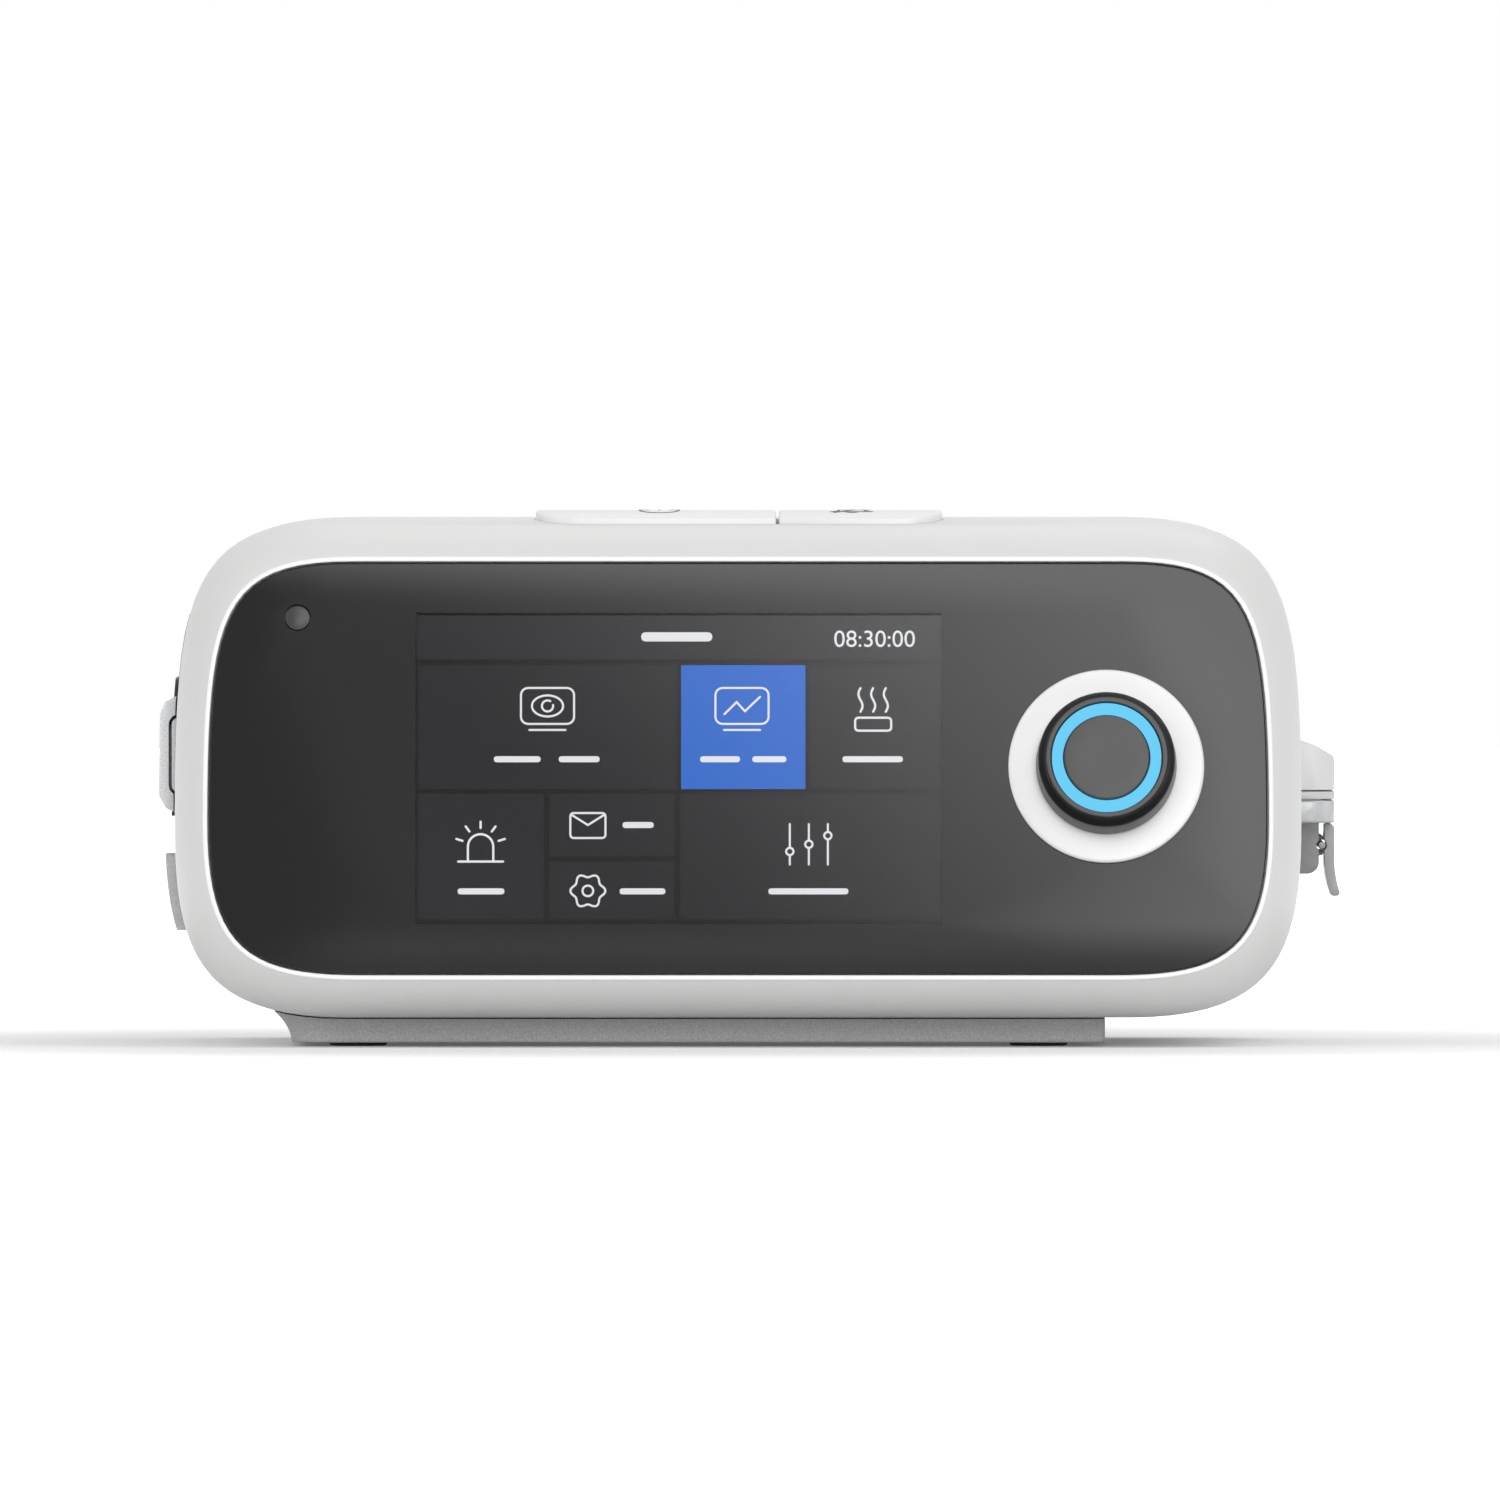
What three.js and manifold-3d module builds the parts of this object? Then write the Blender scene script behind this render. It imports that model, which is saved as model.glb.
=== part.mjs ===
// A bilevel positive airway pressure machine with a humidifier tank in its right end.
// Millimetres, +X right, -Y towards the user, +Z up. The model is built around a body frame:
// x = 0 is the middle of the body, z = 0 the floor, and y = 0 the front panel at its widest level.
// The last lines move the finished group so that its origin is the bottom centre of its box.
import * as THREE from "three";
import { mergeVertices } from "three/addons/utils/BufferGeometryUtils.js";
import Module from "manifold-3d";

const wasm = await Module();
wasm.setup();

// Sizes of the whole machine
const gap = 0.3; // between pieces that touch
const mergeDistance = 0.0001; // below which two vertices are one
const overrun = 1; // how far a cutting shape runs past what it cuts
const wall = 2.4; // moulded housing wall
const boardThickness = 1.6;
const lean = THREE.MathUtils.degToRad(10.5); // the front panel leans back
const bodyBottom = 6;
const widestLevel = 46.3; // the level where the body is widest
const rearY = 150; // back of the rear cover
const rearRound = 8; // roll of the rear edge
const rearCoverDepth = 14;
const frontDepth = 38; // the front housing, from its lip to its seam
const rollDepth = 24; // how far back the front roll reaches
const rollEnd = THREE.MathUtils.degToRad(65); // slope of the roll where it meets the lip
const lipWidth = 1;
const lipProud = 0.6;
const chassisTop = 20; // level of the seam between upper and lower housing

// The body's outline from the front: half width, and for each half its height, where its curve
// starts at the middle line, and the two handles of the curve.
const panelHalfWidth = 108.5;
const ringWidth = 7.3; // of the white ring beside the panel
const bodyHalfWidth = panelHalfWidth + ringWidth;
const bodyOutline = {
  halfWidth: bodyHalfWidth,
  upper: { height: 62.1, flatShare: 0.688, sideShare: 0.747, topShare: 0.945 },
  lower: { height: widestLevel - bodyBottom, flatShare: 0.697, sideShare: 0.638, topShare: 0.88 },
};
const panelOutline = {
  halfWidth: panelHalfWidth,
  upper: { height: 53.1, flatShare: 0.732, sideShare: 0.796, topShare: 0.918 },
  lower: { height: 31, flatShare: 0.714, sideShare: 0.843, topShare: 0.717 },
};
const cornerSteps = 6; // facets in each corner of an outline
const bodyTop = widestLevel + bodyOutline.upper.height;

// Materials
const finish = (color, roughness, metalness = 0, extra = {}) =>
  new THREE.MeshStandardMaterial({ color, roughness, metalness, ...extra });
const clear = { transparent: true, opacity: 0.55 };
const whiteShell = () => finish(0xe4e4e2, 0.45);
const whiteKey = () => finish(0xf4f4f2, 0.4);
const blackGloss = () => finish(0x2b2b2d, 0.2);
const darkPlastic = () => finish(0x3a3a3d, 0.5);
const greyPlastic = () => finish(0x9a9a9a, 0.7);
const silverPlastic = () => finish(0xd2d5d8, 0.5, 0.2);
const greyRubber = () => finish(0xb0b0b0, 0.8);
const blackRubber = () => finish(0x202020, 0.9);
const circuitBoard = () => finish(0x1f6b3a, 0.5);
const clearPlastic = () => finish(0xd5d8da, 0.15, 0, clear);
const blueLight = () => finish(0x4fc3f7, 0.3, 0, { emissive: 0x4fc3f7 });
const metal = () => finish(0xb8bcc0, 0.35, 0.9);
const darkMetal = () => finish(0x55585c, 0.45, 0.8);
const foam = () => finish(0xeeeeea, 0.95);

// Geometry made by plain three.js classes, always closed, with shared vertices merged.
function closed(geometry) {
  geometry.deleteAttribute("normal");
  geometry.deleteAttribute("uv");
  return mergeVertices(geometry, mergeDistance);
}

function boxBetween([x0, y0, z0], [x1, y1, z1]) {
  const box = new THREE.BoxGeometry(x1 - x0, y1 - y0, z1 - z0);
  return closed(box.translate((x0 + x1) / 2, (y0 + y1) / 2, (z0 + z1) / 2));
}

// A rectangle with round corners in the plane of an outline.
function roundedRectangle(u0, u1, v0, v1, radius) {
  const shape = new THREE.Shape();
  shape.moveTo(u0 + radius, v0);
  shape.absarc(u1 - radius, v0 + radius, radius, -Math.PI / 2, 0);
  shape.absarc(u1 - radius, v1 - radius, radius, 0, Math.PI / 2);
  shape.absarc(u0 + radius, v1 - radius, radius, Math.PI / 2, Math.PI);
  shape.absarc(u0 + radius, v0 + radius, radius, Math.PI, Math.PI * 1.5);
  return shape;
}

function polygon(points) {
  return new THREE.Shape(points.map(([u, v]) => new THREE.Vector2(u, v)));
}

// An outline drawn in (y, z), (x, z) or (x, y) and extruded along the third axis.
const extrudeFrames = {
  x: [new THREE.Vector3(0, 1, 0), new THREE.Vector3(0, 0, 1), new THREE.Vector3(1, 0, 0)],
  y: [new THREE.Vector3(1, 0, 0), new THREE.Vector3(0, 0, 1), new THREE.Vector3(0, -1, 0)],
  z: [new THREE.Vector3(1, 0, 0), new THREE.Vector3(0, 1, 0), new THREE.Vector3(0, 0, 1)],
};

function extrude(axis, shape, from, to, curveSegments = 4) {
  const geometry = new THREE.ExtrudeGeometry(shape, { depth: to - from, bevelEnabled: false, curveSegments });
  geometry.applyMatrix4(new THREE.Matrix4().makeBasis(...extrudeFrames[axis]));
  const start = { x: [from, 0, 0], y: [0, to, 0], z: [0, 0, from] }[axis];
  return closed(geometry.translate(...start));
}

// A profile of [radius, height] points from the lowest to the highest, turned round an axis.
function turned(axis, profile, place = [0, 0, 0], steps = 20) {
  const geometry = new THREE.LatheGeometry(profile.map(([r, h]) => new THREE.Vector2(r, h)), steps);
  if (axis === "z") geometry.rotateX(Math.PI / 2);
  if (axis === "x") geometry.rotateZ(-Math.PI / 2);
  return closed(geometry.translate(...place));
}

function rod(axis, radius, from, to, place = [0, 0, 0], steps = 20) {
  return turned(axis, [[0, from], [radius, from], [radius, to], [0, to]], place, steps);
}

// A ring with a bore, drawn as one closed profile.
function tube(axis, outer, inner, from, to, place = [0, 0, 0], steps = 20) {
  const profile = [[inner, to], [inner, from], [outer, from], [outer, to], [inner, to]];
  return turned(axis, profile, place, steps);
}

// Solids are joined and cut here, and come back as geometry.
function solidOf(geometry) {
  const vertProperties = new Float32Array(geometry.getAttribute("position").array);
  const triVerts = new Uint32Array(geometry.index.array);
  return new wasm.Manifold(new wasm.Mesh({ numProp: 3, vertProperties, triVerts }));
}

function geometryOf(solid) {
  const mesh = solid.getMesh();
  const geometry = new THREE.BufferGeometry();
  geometry.setAttribute("position", new THREE.BufferAttribute(new Float32Array(mesh.vertProperties), 3));
  geometry.setIndex(new THREE.BufferAttribute(new Uint32Array(mesh.triVerts), 1));
  return geometry;
}

const join = (first, ...others) =>
  geometryOf(others.reduce((made, other) => made.add(solidOf(other)), solidOf(first)));
const cut = (first, ...tools) =>
  geometryOf(tools.reduce((made, tool) => made.subtract(solidOf(tool)), solidOf(first)));
const common = (first, other) => geometryOf(solidOf(first).intersect(solidOf(other)));

// Outlines: one corner is a curve from the middle line's side to the flat top or bottom.
function cornerCurve(halfWidth, half) {
  const flatX = halfWidth * half.flatShare;
  return new THREE.CubicBezierCurve(
    new THREE.Vector2(halfWidth, 0),
    new THREE.Vector2(halfWidth, half.height * half.sideShare),
    new THREE.Vector2(flatX + (halfWidth - flatX) * half.topShare, half.height),
    new THREE.Vector2(flatX, half.height),
  );
}

function cornerPoints(halfWidth, half, inset) {
  const curve = cornerCurve(halfWidth, half);
  return Array.from({ length: cornerSteps + 1 }, (_, i) => {
    const point = curve.getPoint(i / cornerSteps);
    const along = curve.getTangent(i / cornerSteps);
    return new THREE.Vector2(point.x - along.y * inset, point.y + along.x * inset);
  });
}

// The whole outline, anticlockwise, moved inwards by inset and centred on the widest level.
function outlinePoints(outline, inset = 0) {
  const upper = cornerPoints(outline.halfWidth, outline.upper, inset);
  const lower = cornerPoints(outline.halfWidth, outline.lower, inset);
  return [
    ...upper,
    ...upper.toReversed().map(({ x, y }) => new THREE.Vector2(-x, y)),
    ...lower.slice(1).map(({ x, y }) => new THREE.Vector2(-x, -y)),
    ...lower.slice(1).toReversed().map(({ x, y }) => new THREE.Vector2(x, -y)),
  ];
}

// Where the leaning front plane stands at a level, and rings of points at a depth behind it.
const faceY = (z) => (z - widestLevel) * Math.tan(lean);
const leaningRing = (points, depth) =>
  points.map(({ x, y }) => new THREE.Vector3(x, y * Math.tan(lean) + depth, y + widestLevel));
const uprightRing = (points, y) => points.map((p) => new THREE.Vector3(p.x, y, p.y + widestLevel));

// A skin through rings of equal count. A solid loft gets two end caps, and a looped one closes
// on its own first ring.
function loft(rings, looped = false) {
  const count = rings[0].length;
  const position = rings.flat().flatMap((p) => [p.x, p.y, p.z]);
  const index = [];
  const bands = looped ? rings.length : rings.length - 1;
  for (let r = 0; r < bands; r++) {
    const here = r * count;
    const next = ((r + 1) % rings.length) * count;
    for (let i = 0; i < count; i++) {
      const j = (i + 1) % count;
      index.push(here + i, next + i, next + j);
      index.push(here + i, next + j, here + j);
    }
  }
  if (!looped) {
    const flat = (ring) => ring.map((p) => new THREE.Vector2(p.x, p.z));
    const last = (rings.length - 1) * count;
    THREE.ShapeUtils.triangulateShape(flat(rings[0]), []).forEach(([a, b, c]) => index.push(a, b, c));
    THREE.ShapeUtils.triangulateShape(flat(rings.at(-1)), []).forEach(([a, b, c]) =>
      index.push(last + c, last + b, last + a),
    );
  }
  const geometry = new THREE.BufferGeometry();
  geometry.setAttribute("position", new THREE.Float32BufferAttribute(position, 3));
  geometry.setIndex(index);
  return geometry;
}

// Groups and placing
const machine = new THREE.Group();
const panel = new THREE.Group(); // its y = 0 is the lens's face and its y points into the body
panel.position.z = widestLevel;
panel.rotation.x = -lean;
machine.add(panel);

function add(name, geometry, material, parent = machine) {
  const mesh = new THREE.Mesh(geometry, material);
  mesh.name = name;
  parent.add(mesh);
  return mesh;
}

// A level measured from the floor, as a height along the leaning panel.
const alongPanel = (z) => (z - widestLevel) / Math.cos(lean);

// Front housing: the white ring that rolls from the body's sides to a bright lip round the panel.
// The keys' opening and the shelves of the key board are in its top.
const lensThickness = 2;
const ledgeWidth = 3; // carries the lens from behind
const ledgeThickness = 2;
const rollSteps = 6;
const insideRoll = { share: 0.5, depth: 10 }; // a point of the inner wall between ledge and crest

const keyLeft = -41.6;
const keyRight = 42;
const keySplit = 8.1;
const keySplitGap = 0.6;
const keyFrontDepth = 14; // behind the lip's plane
const keyDepth = 17;
const keyCorner = 8.2;
const keyClearance = 0.35;
const keyTravel = 1;
const keyProud = 1.9; // of the rear edge over the housing
const keySlope = 1.4; // the top falls this much to the front
const keyCrestShare = 0.6; // of the depth, where the slope ends
const keyFlangeWidth = 1;
const keyFlangeThickness = 1.3;
const keyFlangeDrop = 4.5; // from the housing's top to the flange
const keyFront = faceY(bodyTop) + keyFrontDepth;
const keyFlangeTop = bodyTop - keyFlangeDrop;
const keyBottom = keyFlangeTop - keyFlangeThickness;
const matThickness = 1;
const domeHeight = 1.5;
const domeRadius = 3.5;
const domeTop = keyBottom - keyTravel - gap;
const matTop = domeTop - domeHeight;
const keyBoardTop = matTop - matThickness - gap;
const keyBoardMargin = 3;
const shelfThickness = 1.4;
const shelfReach = 2.5;

const keyRow = (margin) =>
  roundedRectangle(
    keyLeft - margin, keyRight + margin,
    keyFront - margin, keyFront + keyDepth + margin,
    keyCorner + margin,
  );

function blendRing(share, depth, inset = 0) {
  const outer = outlinePoints(bodyOutline, inset);
  const lip = outlinePoints(panelOutline, inset - gap - lipWidth);
  return leaningRing(outer.map((p, i) => p.clone().lerp(lip[i], share)), depth);
}

function frontHousing() {
  const panelRing = (inset, depth) => leaningRing(outlinePoints(panelOutline, inset), depth);
  const roll = Array.from({ length: rollSteps + 1 }, (_, i) => {
    const angle = rollEnd * (1 - i / rollSteps);
    const share = (1 - Math.cos(angle)) / (1 - Math.cos(rollEnd));
    return blendRing(share, rollDepth * (1 - Math.sin(angle) / Math.sin(rollEnd)));
  });
  const ledgeFront = lensThickness + gap;
  const ledgeBack = ledgeFront + ledgeThickness;
  const shell = loft([
    panelRing(-gap, -lipProud),
    panelRing(-gap - lipWidth, -lipProud),
    ...roll,
    leaningRing(outlinePoints(bodyOutline), frontDepth),
    leaningRing(outlinePoints(bodyOutline, wall), frontDepth),
    leaningRing(outlinePoints(bodyOutline, wall), rollDepth),
    blendRing(insideRoll.share, insideRoll.depth, wall / 2),
    panelRing(-lipWidth, ledgeBack + ledgeThickness),
    panelRing(ledgeWidth, ledgeBack),
    panelRing(ledgeWidth, ledgeFront),
    panelRing(-gap, ledgeFront),
  ], true);
  const opening = extrude("z", keyRow(keyClearance), keyBottom - overrun, bodyTop + overrun, 6);
  const boardBottom = keyBoardTop - boardThickness;
  const shelf = (side) => {
    const inner = side < 0 ? keyLeft - keyBoardMargin - gap : keyRight + keyBoardMargin + gap;
    const outer = inner + side * wall;
    const reach = inner - side * shelfReach;
    const yRange = [keyFront + keyCorner / 2, keyFront + keyDepth];
    const zLow = boardBottom - gap - shelfThickness;
    const plate = (x0, x1, top) =>
      boxBetween([Math.min(x0, x1), yRange[0], zLow], [Math.max(x0, x1), yRange[1], top]);
    return join(plate(inner, outer, bodyTop - wall / 2), plate(reach, outer, zLow + shelfThickness));
  };
  return join(cut(shell, opening), shelf(-1), shelf(1));
}
add("front_housing", frontHousing(), whiteShell());

// Keys: two white keys that share one lozenge, with a flange below that keeps them in.
function key(from, to) {
  const front = keyFront - keyFlangeWidth - overrun;
  const back = keyFront + keyDepth + keyFlangeWidth + overrun;
  const top = bodyTop + keyProud;
  const body = join(
    extrude("z", keyRow(0), keyBottom, top, 6),
    extrude("z", keyRow(keyFlangeWidth), keyBottom, keyFlangeTop, 6),
  );
  const slope = extrude("x", polygon([
    [front, top - keySlope - keySlope * (overrun / keyDepth)],
    [keyFront + keyDepth * keyCrestShare, top],
    [keyFront + keyDepth * keyCrestShare, top + overrun],
    [front, top + overrun],
  ]), keyLeft - keyFlangeWidth - overrun, keyRight + keyFlangeWidth + overrun);
  return cut(common(body, boxBetween([from, front, keyBottom - overrun], [to, back, top + overrun])), slope);
}
const keyEnd = keyFlangeWidth + overrun;
add("power_key", key(keyLeft - keyEnd, keySplit - keySplitGap / 2), whiteKey());
add("alarm_mute_key", key(keySplit + keySplitGap / 2, keyRight + keyEnd), whiteKey());

// Key mat with one dome below each key, and the key board under it.
const keyMiddles = [(keyLeft + keySplit) / 2, (keySplit + keyRight) / 2];
const keyBoardBox = (bottom, top) =>
  boxBetween(
    [keyLeft - keyBoardMargin, keyFront, bottom],
    [keyRight + keyBoardMargin, keyFront + keyDepth, top],
  );
const dome = (x) =>
  rod("z", domeRadius, matTop - matThickness / 2, domeTop, [x, keyFront + keyDepth / 2, 0], 12);
add("key_mat", join(keyBoardBox(matTop - matThickness, matTop), ...keyMiddles.map(dome)), greyRubber());
add("key_board", keyBoardBox(keyBoardTop - boardThickness, keyBoardTop), circuitBoard());

// Knob, drawn round its own axis, which leans with the panel.
const screenWidth = 108;
const collarRadius = 20.1;
const panelSpare = 2 * (panelHalfWidth - collarRadius) - screenWidth; // beside the screen and knob
const screenLeftShare = 0.615; // of the spare width, left of the screen
const knobRightShare = 0.1875; // of the spare width, right of the knob
const screenLeft = panelSpare * screenLeftShare - panelHalfWidth;
const knobX = panelHalfWidth - panelSpare * knobRightShare - collarRadius;
const knobLevel = 57.5;
const knobProud = 11.7; // from the lens to the knob's face
const knobBaseRadius = 14.45;
const knobNoseRadius = 13.65;
const knobFaceRadius = 12.4;
const knobChamfer = 1.2;
const knobBaseY = -2; // clear of the collar when the knob is pushed in
const knobWall = 1.9;
const knobRecess = 2; // for the light ring and the face
const knobFloor = 1.5; // behind the recess
const ringOuter = 11.2;
const ringInner = 9;
const shaftRadius = 3;
const hubRadius = 5.5;
const pushTravel = 0.6;
const collarProud = 1.2;
const collarRim = 0.7;
const collarWell = 15.4;
const collarNeck = 17.7;
const collarWellY = -0.5;
const bushingRadius = 4.4;
const bushingBore = shaftRadius + gap;
const bushingFrontY = -0.3;
const knobGroup = new THREE.Group();
knobGroup.position.set(knobX, 0, alongPanel(knobLevel));
panel.add(knobGroup);

add("knob_collar", turned("y", [
  [bushingRadius + gap, lensThickness],
  [bushingRadius + gap, collarWellY],
  [collarWell, collarWellY],
  [collarWell + collarRim / 2, -collarProud],
  [collarRadius - collarRim, -collarProud],
  [collarRadius, collarRim / 2 - collarProud],
  [collarRadius, -gap],
  [collarNeck, -gap],
  [collarNeck, lensThickness],
  [bushingRadius + gap, lensThickness],
], [0, 0, 0], 28), whiteKey(), knobGroup);

const knobFaceY = -knobProud;
const recessY = knobFaceY + knobRecess;
const cavityY = recessY + knobFloor;
add("knob_shell", turned("y", [
  [0, recessY],
  [ringOuter + gap, recessY],
  [ringOuter + gap, knobFaceY],
  [knobFaceRadius, knobFaceY],
  [knobNoseRadius, knobFaceY + knobChamfer],
  [knobBaseRadius, knobBaseY],
  [knobBaseRadius - knobWall, knobBaseY],
  [knobBaseRadius - knobWall, cavityY],
  [hubRadius, cavityY],
  [hubRadius, knobBaseY],
  [shaftRadius + gap, knobBaseY],
  [shaftRadius + gap, cavityY],
  [0, cavityY],
], [0, 0, 0], 24), blackGloss(), knobGroup);
add("knob_light_ring", tube("y", ringOuter, ringInner, knobFaceY, recessY - gap, [0, 0, 0], 24),
  blueLight(), knobGroup);
add("knob_face", rod("y", ringInner - gap, knobFaceY, recessY - gap), darkPlastic(), knobGroup);

// Encoder behind the panel: its box stands on the display board, the shaft turns in its bushing
// and the plunger behind the shaft is pushed in.
const moduleFrontY = lensThickness + gap;
const moduleBackY = 8.2;
const encoderSize = 12.4;
const shaftBackY = 3.5;
const plungerLength = 1.8;
const plungerBackY = shaftBackY + gap + plungerLength;
const encoderBoreY = plungerBackY + pushTravel + gap;
const encoderHalf = encoderSize / 2;
add("encoder_body", cut(
  join(
    boxBetween([-encoderHalf, moduleFrontY, -encoderHalf], [encoderHalf, moduleBackY, encoderHalf]),
    rod("y", bushingRadius, bushingFrontY, moduleFrontY + overrun),
  ),
  rod("y", bushingBore, bushingFrontY - overrun, encoderBoreY),
), metal(), knobGroup);
add("encoder_shaft", rod("y", shaftRadius, cavityY + gap, shaftBackY), metal(), knobGroup);
add("encoder_plunger", rod("y", shaftRadius, shaftBackY + gap, plungerBackY), darkPlastic(), knobGroup);

// Lens: the dark panel, with holes for the collar's neck and the status window. Its edge is level
// like the walls of its pocket.
const windowShare = 0.572; // of the way from the screen to the panel's left end
const windowX = screenLeft - windowShare * (screenLeft + panelHalfWidth);
const windowLevel = 88.2;
const windowRadius = 2.5;
const windowFlange = 1.1;
const lensRing = (y) =>
  outlinePoints(panelOutline).map((p) =>
    new THREE.Vector3(p.x, y, p.y / Math.cos(lean) + y * Math.tan(lean)),
  );
add("display_lens", cut(
  loft([lensRing(0), lensRing(lensThickness)]),
  rod("y", collarNeck + gap, -overrun, lensThickness + overrun, [knobX, 0, alongPanel(knobLevel)], 32),
  rod("y", windowRadius + gap, -overrun, lensThickness + overrun, [windowX, 0, alongPanel(windowLevel)], 16),
), blackGloss(), panel);
add("status_window", turned("y", [
  [0, gap / 2],
  [windowRadius, gap / 2],
  [windowRadius, moduleFrontY],
  [windowRadius + windowFlange, moduleFrontY],
  [windowRadius + windowFlange, moduleBackY],
  [0, moduleBackY],
], [windowX, 0, alongPanel(windowLevel)], 16), greyPlastic(), panel);

// Screen module: a 5 inch screen of 108.0 by 64.8 mm in a metal frame, and the board behind it.
const screenHeight = 64.8;
const screenMiddleX = screenLeft + screenWidth / 2;
const screenMiddleLevel = 57.3;
const screenThickness = 0.9;
const frameMargin = 4;
const boardInset = 13.5; // from the ends of the panel
const boardMargin = 5; // above and below the screen
const boardCorner = 12;
const screenMiddle = alongPanel(screenMiddleLevel);
const screenBox = (margin, from, to) =>
  boxBetween(
    [screenMiddleX - screenWidth / 2 - margin, from, screenMiddle - screenHeight / 2 - margin],
    [screenMiddleX + screenWidth / 2 + margin, to, screenMiddle + screenHeight / 2 + margin],
  );
const screenBackY = moduleFrontY + screenThickness;
add("screen", screenBox(0, moduleFrontY, screenBackY), blackGloss(), panel);
add("screen_frame", cut(
  screenBox(frameMargin, moduleFrontY, moduleBackY),
  screenBox(gap, moduleFrontY - overrun, screenBackY + gap),
), metal(), panel);
const displayBoardY = moduleBackY + gap;
add("display_board", extrude("y", roundedRectangle(
  boardInset - panelHalfWidth, panelHalfWidth - boardInset,
  screenMiddle - screenHeight / 2 - boardMargin, screenMiddle + screenHeight / 2 + boardMargin,
  boardCorner,
), displayBoardY, displayBoardY + boardThickness), circuitBoard(), panel);

// Main housing behind the front one. Every shell follows the body's outline, so a skin of it is
// the space between two insets, from the leaning seam to an upright end.
const seamDepth = frontDepth + gap;
const housingEnd = rearY - rearCoverDepth;
const bodyLoft = (inset, frontExtra = 0, end = housingEnd) =>
  loft([
    leaningRing(outlinePoints(bodyOutline, inset), seamDepth - frontExtra),
    uprightRing(outlinePoints(bodyOutline, inset), end),
  ]);
const skin = (outerInset, innerInset) =>
  cut(bodyLoft(outerInset), bodyLoft(innerInset, overrun, housingEnd + overrun));
const farX = bodyHalfWidth + rollDepth;
const below = (level) => boxBetween([-farX, -farX, -farX], [farX, rearY + farX, level]);
const above = (level) => boxBetween([-farX, -farX, level], [farX, rearY + farX, bodyTop + farX]);

// Left side: a dark panel in a shallow pocket, the filter behind it and the data socket.
const sideInset = { front: 10, rear: 5, bottom: 2 }; // from the seams of the upper housing
const sideHeight = 66.8;
const sidePanel = {
  y: [frontDepth + sideInset.front, housingEnd - sideInset.rear],
  z: [chassisTop + sideInset.bottom, chassisTop + sideInset.bottom + sideHeight],
  corner: 8, proud: 0.3, depth: 1.2,
};
const filterOpening = { y: [68, 116], z: [50.5, 69], corner: 3 };
const dataOpening = { y: [77, 95], z: [27, 36], corner: 1.5 };
const sideWindow = ({ y, z, corner }, margin = 0, from = -farX, to = 0) =>
  extrude("x", roundedRectangle(
    y[0] - margin, y[1] + margin, z[0] - margin, z[1] + margin, corner + margin,
  ), from, to);
const sideSkin = (outerInset, innerInset, window, margin = 0) =>
  common(skin(outerInset, innerInset), sideWindow(window, margin));

const tabSeat = { y: [50.3, 58.5], z: [51.9, 67.4], corner: 1.5, slot: 0.6, travel: 1.5, depth: 0.6 };
const tabRecess = common(
  cut(bodyLoft(-overrun), bodyLoft(tabSeat.depth, overrun)),
  boxBetween(
    [-farX, tabSeat.y[0] - gap, tabSeat.z[0] - tabSeat.slot],
    [0, tabSeat.y[1] + tabSeat.travel + gap, tabSeat.z[1] + tabSeat.slot],
  ),
);
add("left_side_panel", cut(
  sideSkin(-sidePanel.proud, sidePanel.depth, sidePanel),
  tabRecess,
  sideWindow(filterOpening),
  sideWindow(dataOpening),
), darkPlastic());

// Humidifier bay in the right end, open to the right, with the heater in its floor.
const bayDepth = 91.8; // from the widest point of the side
const bayWall = 2;
const bayInset = { front: 6, rear: 2, bottom: 0.5 }; // from the same seams
const bayHeight = 44.6;
const bay = {
  x: bodyHalfWidth - bayDepth,
  y: [frontDepth + bayInset.front, housingEnd - bayInset.rear],
  z: [chassisTop + bayInset.bottom, chassisTop + bayInset.bottom + bayHeight],
};
const bayInner = {
  y: [bay.y[0] + bayWall, bay.y[1] - bayWall],
  z: [bay.z[0] + bayWall, bay.z[1] - bayWall],
};
const bayCorner = 2;
const heaterInset = { left: 13, right: 12.8, sides: 12 }; // from the bay's walls and the body's side
const heater = {
  x: [bay.x + heaterInset.left, bodyHalfWidth - heaterInset.right],
  y: [bay.y[0] + heaterInset.sides, bay.y[1] - heaterInset.sides],
  thickness: 2, proud: 0.5,
};
const portInset = { front: 18, rear: 16, top: 7.9 };
const airPort = {
  y: [bay.y[0] + portInset.front, bay.y[1] - portInset.rear], level: bay.z[1] - portInset.top,
  halfWidth: 8, halfHeight: 2.9,
};
const bayHole = (margin, from, to) =>
  extrude("x", roundedRectangle(
    bayInner.y[0] - margin, bayInner.y[1] + margin,
    bayInner.z[0] - margin, bayInner.z[1] + margin, bayCorner + margin,
  ), from, to);
const portHole = (y, margin, from, to) =>
  extrude("x", roundedRectangle(
    y - airPort.halfWidth - margin, y + airPort.halfWidth + margin,
    airPort.level - airPort.halfHeight - margin, airPort.level + airPort.halfHeight + margin,
    airPort.halfHeight / 2 + margin,
  ), from, to, 2);

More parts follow.
